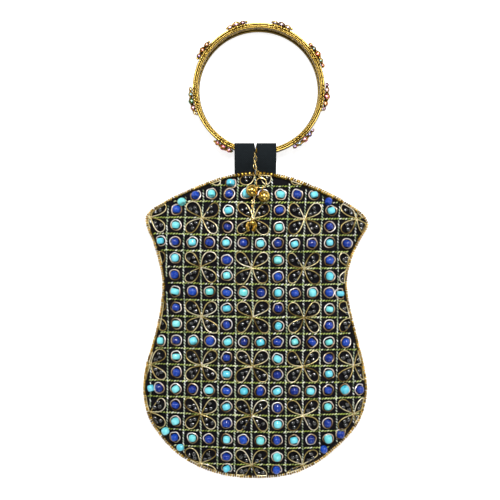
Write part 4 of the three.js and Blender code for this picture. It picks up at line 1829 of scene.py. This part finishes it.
    def plates(self, shop: Workshop) -> None:
        """Makes each cluster's plate.

        Args:
            shop: The workshop.
        """
        points, faces = [], []
        half_width = (self.band - self.axial) / 2
        for cluster in CLUSTERS:
            middle = math.radians(cluster.angle)
            half = cluster.span / self.outer / 2
            count = 8
            for k in range(count + 1):
                angle = middle - half + 2 * half * k / count
                for r, z in (
                    (self.outer - 0.8, -half_width),
                    (self.outer + 0.3, -half_width),
                    (self.outer + 0.3, half_width + 0.6),
                    (self.outer - 0.8, half_width + 0.6),
                ):
                    points.append((r * math.cos(angle), r * math.sin(angle), z))
            start = len(points) - 4 * (count + 1)
            for k in range(count):
                a, b = start + 4 * k, start + 4 * (k + 1)
                faces += [(a + i, b + i, b + (i + 1) % 4, a + (i + 1) % 4) for i in range(4)]
            faces.append((start, start + 1, start + 2, start + 3))
            end = start + 4 * count
            faces.append((end + 3, end + 2, end + 1, end))
        # The plates' dark finish is painted shade round the stones.
        plates = shop.site.mesh("bangle_plates", self.lie(np.array(points)), faces, smooth=False)
        shop.place(plates, PLATE_GOLD_PAINTED_SHADE)

    def stones(self, shop: Workshop) -> None:
        """Sets the cut stones in their bezels.

        Args:
            shop: The workshop.
        """
        spots, bezels, colors = [], [], []
        rng = np.random.default_rng(SEED + 2)
        for cluster in CLUSTERS:
            middle = math.radians(cluster.angle)
            seats = ((0.3, 2.3, 3.5, 0), (3.9, 2.0, 2.9, 1), (-3.4, 2.2, 2.8, 2))
            if cluster.span > 11.5:
                seats += ((6.6, 2.2, 2.1, 3), (-6.2, 2.0, 2.2, 3))
            seats += ((1.8, -1.6, 1.9, 1), (-1.7, -1.9, 1.9, 3))
            for along, height, size, number in seats:
                angle = middle + along / self.outer
                place, out = self.around(angle, self.outer + 1.5, height)
                lean = math.radians(self.stone_lean if height > 0 else 0.0)
                across = np.array([0, 0, 1.0])
                out = math.cos(lean) * out / np.linalg.norm(out) + math.sin(lean) * across
                grow = size * (1 + 0.05 * rng.standard_normal())
                spots.append(Spot(place, out, across, (grow, grow, grow)))
                colors.append(linear(cluster.stones[number]))
                bezels.append(Spot(place, out, across, (grow, grow, grow), rng.random()))
        bezel = template(
            "bezel",
            [(-0.2, 0), (-0.2, 0.58), (0.3, 0.6), (0.37, 0.57), (0.37, 0.5), (0.2, 0.45), (0.2, 0)],
            14,
        )
        shop.place(shop.scatter("bangle_bezels", bezels, bezel, GOLD_BEADS), GOLD_BEADS)
        self.crystal(shop, spots, colors)

    def crystal(self, shop: Workshop, spots: Sequence[Spot], colors: Sequence[tuple]) -> None:
        """Cuts the stones, each with its own colour in the attribute stone.

        Args:
            shop: The workshop.
            spots: Where they sit.
            colors: Their linear colours.
        """
        sides = 8
        rings = ((0.16, 0.5, 0.0), (0.36, 0.49, 0.0), (0.5, 0.36, 0.5), (0.58, 0.24, 0.0))
        points, faces, shades = [], [], []
        for spot, color in zip(spots, colors):
            out = spot.along / np.linalg.norm(spot.along)
            side = np.cross(spot.up, out)
            side /= np.linalg.norm(side)
            up = np.cross(out, side)
            start = len(points)
            for depth, radius, turn in rings:
                for k in range(sides):
                    angle = 2 * math.pi * (k + turn) / sides
                    reach = radius * (math.cos(angle) * side + math.sin(angle) * up)
                    points.append(spot.at + spot.size[0] * (depth * out + reach))
            for level in range(3):
                a, b = start + level * sides, start + (level + 1) * sides
                for k in range(sides):
                    n = (k + 1) % sides
                    if level == 0:
                        faces.append((a + k, a + n, b + n, b + k))
                    elif level == 1:
                        faces += [(a + k, a + n, b + k), (a + n, b + n, b + k)]
                    else:
                        faces += [(a + k, a + n, b + n), (a + k, b + n, b + k)]
            faces.append(tuple(start + 3 * sides + k for k in range(sides)))
            faces.append(tuple(start + k for k in reversed(range(sides))))
            shades += [color] * (len(rings) * sides)
        stones = shop.site.mesh("bangle_stones", np.array(points), faces, smooth=False)
        layer = stones.data.color_attributes.new("stone", "FLOAT_COLOR", "POINT")
        layer.data.foreach_set("color", [c for shade in shades for c in (*shade, 1.0)])
        shop.place(stones, CRYSTAL)

    def eye(self, shop: Workshop) -> None:
        """Makes the eye that the chain hangs from.

        Args:
            shop: The workshop.
        """
        angles = np.linspace(0, 2 * math.pi, 24, endpoint=False)
        y = -self.inner - self.radial / 2 + 1.3 * np.cos(angles)
        z = 5.65 + 1.3 * np.sin(angles)
        path = self.lie(np.stack([np.full(24, -1.3), y, z], axis=1))
        wire = shop.wire("bangle_eye", [path], 0.35, 8, ANTIQUE_GOLD, closed=True)
        shop.place(wire, ANTIQUE_GOLD)

    def build(self, shop: Workshop) -> None:
        """Makes the whole bangle.

        Args:
            shop: The workshop.
        """
        self.rails(shop)
        self.web(shop)
        self.granules(shop)
        self.plates(shop)
        self.stones(shop)
        self.eye(shop)


def ball_rings(radius: float, count: int) -> list[tuple[float, float]]:
    """Gives the rings of a ball for a turned template.

    Args:
        radius: The ball's radius.
        count: Steps from pole to pole.

    Returns:
        Pairs of a place on the axis and a radius.
    """
    rings = []
    for k in range(count + 1):
        angle = math.pi * k / count
        rings.append((-radius * math.cos(angle), 0 if k in (0, count) else radius * math.sin(angle)))
    return rings


@dataclass(frozen=True)
class Crystal(Finish):
    """Foiled cut glass whose colour comes from the attribute stone."""

    def material(self) -> bpy.types.Material:
        """Makes the glass.

        Returns:
            The material.
        """
        material, nodes, shader, place = self.start()
        stone = nodes.add("ShaderNodeAttribute", attribute_name="stone").outputs["Color"]
        noise = nodes.add("ShaderNodeTexNoise", Scale=700.0, Detail=2.0)
        nodes.feed(place, noise.inputs["Vector"])
        mixed = nodes.add("ShaderNodeMix", data_type="RGBA", blend_type="MULTIPLY")
        nodes.feed(0.5, mixed.inputs["Factor"])
        nodes.feed(stone, mixed.inputs[6])
        nodes.feed(nodes.ramp(noise.outputs[0], [(0.35, (0.3, 0.3, 0.3)), (0.65, (1, 1, 1))]), mixed.inputs[7])
        nodes.feed(mixed.outputs[2], shader.inputs["Base Color"])
        shader.inputs["Metallic"].default_value = 0.35
        shader.inputs["Roughness"].default_value = 0.06
        shader.inputs["Coat Weight"].default_value = 1.0
        shader.inputs["IOR"].default_value = 1.6
        return material


CRYSTAL = Crystal("cut_crystal", "crystal")


# Chains, jump ring and charms
def loop_template(name: str, length: float, width: float, wire: float) -> bpy.types.Object:
    """Makes one oval chain link lying in its XY plane, its length along X.

    Args:
        name: The object's name.
        length: Outer length.
        width: Outer width.
        wire: The wire's diameter.

    Returns:
        An object that isn't linked to the scene.
    """
    steps, sides = 16, 6
    half_length, half_width = (length - wire) / 2, (width - wire) / 2
    points, faces = [], []
    for k in range(steps):
        angle = 2 * math.pi * k / steps
        c, s = math.cos(angle), math.sin(angle)
        x = math.copysign(abs(c) ** 0.8, c) * half_length
        y = math.copysign(abs(s) ** 0.8, s) * half_width
        for j in range(sides):
            turn = 2 * math.pi * j / sides
            reach = wire / 2 * math.cos(turn)
            points.append(((x + c * reach) * MM, (y + s * reach) * MM, wire / 2 * math.sin(turn) * MM))
    for k in range(steps):
        a, b = k * sides, (k + 1) % steps * sides
        faces += [(a + j, b + j, b + (j + 1) % sides, a + (j + 1) % sides) for j in range(sides)]
    mesh = bpy.data.meshes.new(name)
    mesh.from_pydata(points, [], faces)
    mesh.validate()
    mesh.polygons.foreach_set("use_smooth", [True] * len(mesh.polygons))
    return bpy.data.objects.new(name, mesh)


@dataclass
class Drop:
    """The chain from the bangle to the end charm, with the jump ring and its two balls."""

    pouch: Pouch
    pile: float = 2.4
    ring_x: float = 2.9
    ring_drop: float = 5.4
    ring_lift: float = 0.6
    ring_radius: float = 2.8
    ring_wire: float = 0.8
    ball: float = 6.6
    charm_x: float = -2.4
    charm_drop: float = 30.2
    set_back: float = 0.6
    upper_route: tuple[Point, ...] = (
        (-0.6, -9.8, 13.2),
        (-0.6, -8.6, 12.9),
        (-0.1, -6.6, 11.9),
        (-0.9, -4.6, 11.6),
        (-0.4, -2.6, 12.0),
        (0.9, -0.6, 13.6),
        (1.9, 2.4, 15.0),
    )
    lower_route: tuple[tuple[float, float], ...] = (
        (0.6, 9.0),
        (-0.2, 13.0),
        (-1.6, 16.4),
        (-1.9, 19.0),
        (-1.7, 22.0),
        (-2.2, 27.2),
    )

    def front(self, x: float, drop: float) -> float:
        """Gives the height of the front cloth.

        Args:
            x: X of the place.
            drop: Distance below the top of the pouch.

        Returns:
            The height.
        """
        return float(self.pouch.front([x], [self.pouch.height - drop])[0])

    def links(self, route: np.ndarray, pitch: float) -> list[Spot]:
        """Hangs links along a route, each turned against the last.

        Args:
            route: An array of places.
            pitch: Distance from link to link.

        Returns:
            One spot for each link.
        """
        points = route
        for _ in range(3):
            before, after = points[:-1], points[1:]
            cut = np.empty((2 * len(before), 3))
            cut[0::2] = 0.75 * before + 0.25 * after
            cut[1::2] = 0.25 * before + 0.75 * after
            points = np.concatenate([points[:1], cut, points[-1:]])
        run = np.concatenate([[0.0], np.cumsum(np.linalg.norm(np.diff(points, axis=0), axis=1))])
        count = max(2, round(run[-1] / pitch))
        wanted = np.linspace(0, run[-1], count + 1)
        places = np.stack([np.interp(wanted, run, points[:, k]) for k in range(3)], axis=1)
        along = np.gradient(places, axis=0)
        spots = []
        for k, place in enumerate(places):
            way = along[k] / np.linalg.norm(along[k])
            lean = math.radians(20 if k % 2 else -70)
            across = np.cross(way, [0, 0, 1.0])
            across /= np.linalg.norm(across)
            above = np.cross(across, way)
            spots.append(Spot(place, way, math.cos(lean) * above + math.sin(lean) * across))
        return spots

    def ring_middle(self) -> np.ndarray:
        """Gives the middle of the jump ring."""
        height = self.front(self.ring_x, self.ring_drop) + self.pile + self.ring_lift + 0.3 + self.ring_wire / 2
        return np.array([self.ring_x, self.pouch.height - self.ring_drop - self.set_back, height])

    def build(self, shop: Workshop) -> None:
        """Makes the chains, the ring and the charms.

        Args:
            shop: The workshop.
        """
        height = self.pouch.height
        link = loop_template("chain_link", 3.3, 2.2, 0.55)
        upper = np.array([(x, height - drop, z) for x, drop, z in self.upper_route])
        chain = shop.scatter("chain_upper", self.links(upper, 2.3), link, BRASS)
        shop.place(chain, BRASS, "drop_chain_upper")
        lower = np.array([(x, height - d, self.front(x, d) + self.pile + 1.2) for x, d in self.lower_route])
        long_link = loop_template("long_link", 3.6, 1.9, 0.52)
        chain = shop.scatter("chain_lower", self.links(lower, 2.6), long_link, BRASS)
        shop.place(chain, BRASS, "drop_chain_lower")
        middle = self.ring_middle()
        angles = np.linspace(0.15, 2 * math.pi + 0.05, 40)
        circle = np.stack([np.cos(angles), np.sin(angles), np.zeros(40)], axis=1)
        ring = shop.wire("jump_ring_wire", [middle + self.ring_radius * circle], self.ring_wire / 2, 10, BRASS)
        shop.place(ring, BRASS, "jump_ring")
        self.balls(shop, middle)
        self.end_charm(shop)

    def balls(self, shop: Workshop, middle: np.ndarray) -> None:
        """Makes the two balls with their necks and loops.

        Args:
            shop: The workshop.
            middle: The middle of the jump ring.
        """
        for side in ("left", "right"):
            low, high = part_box("ball_charm_" + side)
            x, drop = (-2.3, 9.9) if side == "left" else (4.4, 13.1)
            radius = self.ball / 2
            place = np.array([x, self.pouch.height - drop - self.set_back, high[2] / MM - radius])
            shape = template("ball_" + side, ball_rings(radius, 20), 36)
            ball = shop.scatter("ball_" + side, [Spot(place, np.array([0, 1.0, 0.2]), np.array([0, 0, 1.0]))], shape, BRIGHT_GOLD)
            shop.place(ball, BRIGHT_GOLD, "ball_charm_" + side)
            out = place - middle
            out[2] = 0
            out /= np.linalg.norm(out)
            hold = middle + self.ring_radius * out
            angles = np.linspace(0, 2 * math.pi, 20, endpoint=False)
            reach = 0.95 * (np.cos(angles)[:, None] * out + np.sin(angles)[:, None] * np.array([0, 0, 1.0]))
            wires = [hold + reach]
            shop.place(shop.wire("ball_loop_" + side, wires, 0.28, 8, BRIGHT_GOLD, closed=True), BRIGHT_GOLD)
            neck = [np.linspace(hold + 0.9 * (place - hold) / np.linalg.norm(place - hold), place, 6)]
            shop.place(shop.wire("ball_neck_" + side, neck, 0.5, 10, BRIGHT_GOLD), BRIGHT_GOLD)

    def end_charm(self, shop: Workshop) -> None:
        """Makes the small ball with two claw-like arms.

        Args:
            shop: The workshop.
        """
        x, y = self.charm_x, self.pouch.height - self.charm_drop
        z = self.front(x, self.charm_drop) + self.pile + 1.6
        top = np.array([x + 0.5, y + 2.0, z + 0.2])
        shape = template("charm_ball_shape", ball_rings(1.7, 12), 20)
        ball = shop.scatter("charm_ball", [Spot(top, np.array([0, 1.0, 0]), np.array([0, 0, 1.0]))], shape, BRIGHT_GOLD)
        shop.place(ball, BRIGHT_GOLD, "end_charm")
        right = [(1.3, 2.0), (1.9, 0.9), (1.8, -0.4), (1.1, -1.7), (0.4, -2.5)]
        left = [(-1.2, 2.2), (-2.2, 1.4), (-2.5, 0.0), (-2.1, -1.5), (-1.5, -2.5)]
        for name, line, radius in (("right", right, 1.15), ("left", left, 0.95)):
            knots = np.array([(x + a, y + b, z) for a, b in line])
            points = knots
            for _ in range(3):
                before, after = points[:-1], points[1:]
                cut = np.empty((2 * len(before), 3))
                cut[0::2] = 0.75 * before + 0.25 * after
                cut[1::2] = 0.25 * before + 0.75 * after
                points = np.concatenate([points[:1], cut, points[-1:]])
            arm = shop.wire("charm_arm_" + name, [points], radius, 10, BRIGHT_GOLD)
            shop.place(arm, BRIGHT_GOLD)


# Stage
@dataclass(frozen=True)
class FloorPaint(Finish):
    """White paper for the floor."""

    def material(self) -> bpy.types.Material:
        """Makes the paper.

        Returns:
            The material.
        """
        material, nodes, shader, place = self.start()
        noise = nodes.add("ShaderNodeTexNoise", Scale=40.0)
        nodes.feed(place, noise.inputs["Vector"])
        color = nodes.ramp(noise.outputs[0], [(0.0, (0.48, 0.48, 0.48)), (1.0, (0.52, 0.52, 0.52))])
        nodes.feed(color, shader.inputs["Base Color"])
        shader.inputs["Roughness"].default_value = 0.9
        shader.inputs["Emission Color"].default_value = (1.0, 1.0, 1.0, 1.0)
        shader.inputs["Emission Strength"].default_value = 0.8
        return material


@dataclass
class Stage:
    """The floor, the lights and the camera."""

    camera_x: float = -0.0033
    camera_y: float = 0.0004
    camera_z: float = 0.513
    lens: float = 65.0
    floor_half: float = 1.2

    def floor(self, site: Site) -> None:
        """Lays the floor.

        Args:
            site: Where the pouch lies.
        """
        h = self.floor_half / MM
        points = np.array([(-h, -h, 0), (h, -h, 0), (h, h, 0), (-h, h, 0)])
        floor = site.mesh("floor", points, [(0, 1, 2, 3)], smooth=False)
        floor.data.materials.append(FloorPaint("floor_paper", "").material())

    def light(self, name: str, place: Point, aim: Point, size: tuple[float, float], power: float) -> None:
        """Hangs an area light.

        Args:
            name: The light's name.
            place: Where it hangs, in metres.
            aim: What it points at.
            size: Its two sides, in metres.
            power: Watts.
        """
        data = bpy.data.lights.new(name, "AREA")
        data.shape = "RECTANGLE"
        data.size, data.size_y = size
        data.energy = power
        lamp = bpy.data.objects.new(name, data)
        lamp.location = place
        lamp.rotation_euler = (Vector(aim) - Vector(place)).to_track_quat("-Z", "Y").to_euler()
        bpy.context.scene.collection.objects.link(lamp)

    def build(self, site: Site) -> None:
        """Makes the floor, lights, world and camera.

        Args:
            site: Where the pouch lies.
        """
        self.floor(site)
        self.light("key", (0.05, 0.42, 0.8), (0, 0, 0), (0.12, 0.12), 9.0)
        self.light("sky", (0.0, 0.28, 0.95), (0, 0, 0), (0.2, 0.15), 1.5)
        self.light("left", (-0.7, 0.2, 0.6), (0, 0, 0), (0.3, 0.3), 1.9)
        self.light("right", (0.7, 0.1, 0.6), (0, 0, 0), (0.3, 0.3), 1.9)
        self.light("low", (0.1, -0.7, 0.6), (0, -0.03, 0), (0.3, 0.2), 1.4)
        world = bpy.data.worlds.new("studio")
        world.use_nodes = True
        background = world.node_tree.nodes["Background"]
        background.inputs["Color"].default_value = (1.0, 1.0, 1.0, 1.0)
        background.inputs["Strength"].default_value = 0.13
        bpy.context.scene.world = world
        bpy.context.scene.view_settings.view_transform = "Standard"
        data = bpy.data.cameras.new("camera")
        data.lens = self.lens
        data.sensor_width = 36.0
        data.clip_start = 0.01
        camera = bpy.data.objects.new("camera", data)
        camera.location = (self.camera_x, self.camera_y, self.camera_z)
        bpy.context.scene.collection.objects.link(camera)
        bpy.context.scene.camera = camera


def main() -> None:
    """Builds and dresses every piece."""
    logging.basicConfig(level=logging.INFO, format="%(name)s %(message)s")
    GROUPS["weave"] = weave_group()
    GROUPS["tarnish"] = tarnish_group()
    TREES["scatter"] = scatter_tree()
    TREES["wire"] = wire_tree()
    site = Site()
    shop = Workshop(site)
    pouch = Pouch()
    grid = Grid(pouch)
    FrontCloth(grid).build(shop)
    BackCloth(pouch).build(shop)
    Edging(pouch).build(shop)
    Embroidery(grid, shop).build()
    for side in (-1, 1):
        RibbonTab(pouch, side).build(shop)
    Bangle().build(shop)
    Drop(pouch).build(shop)
    Stage().build(site)


if __name__ == "__main__":
    main()
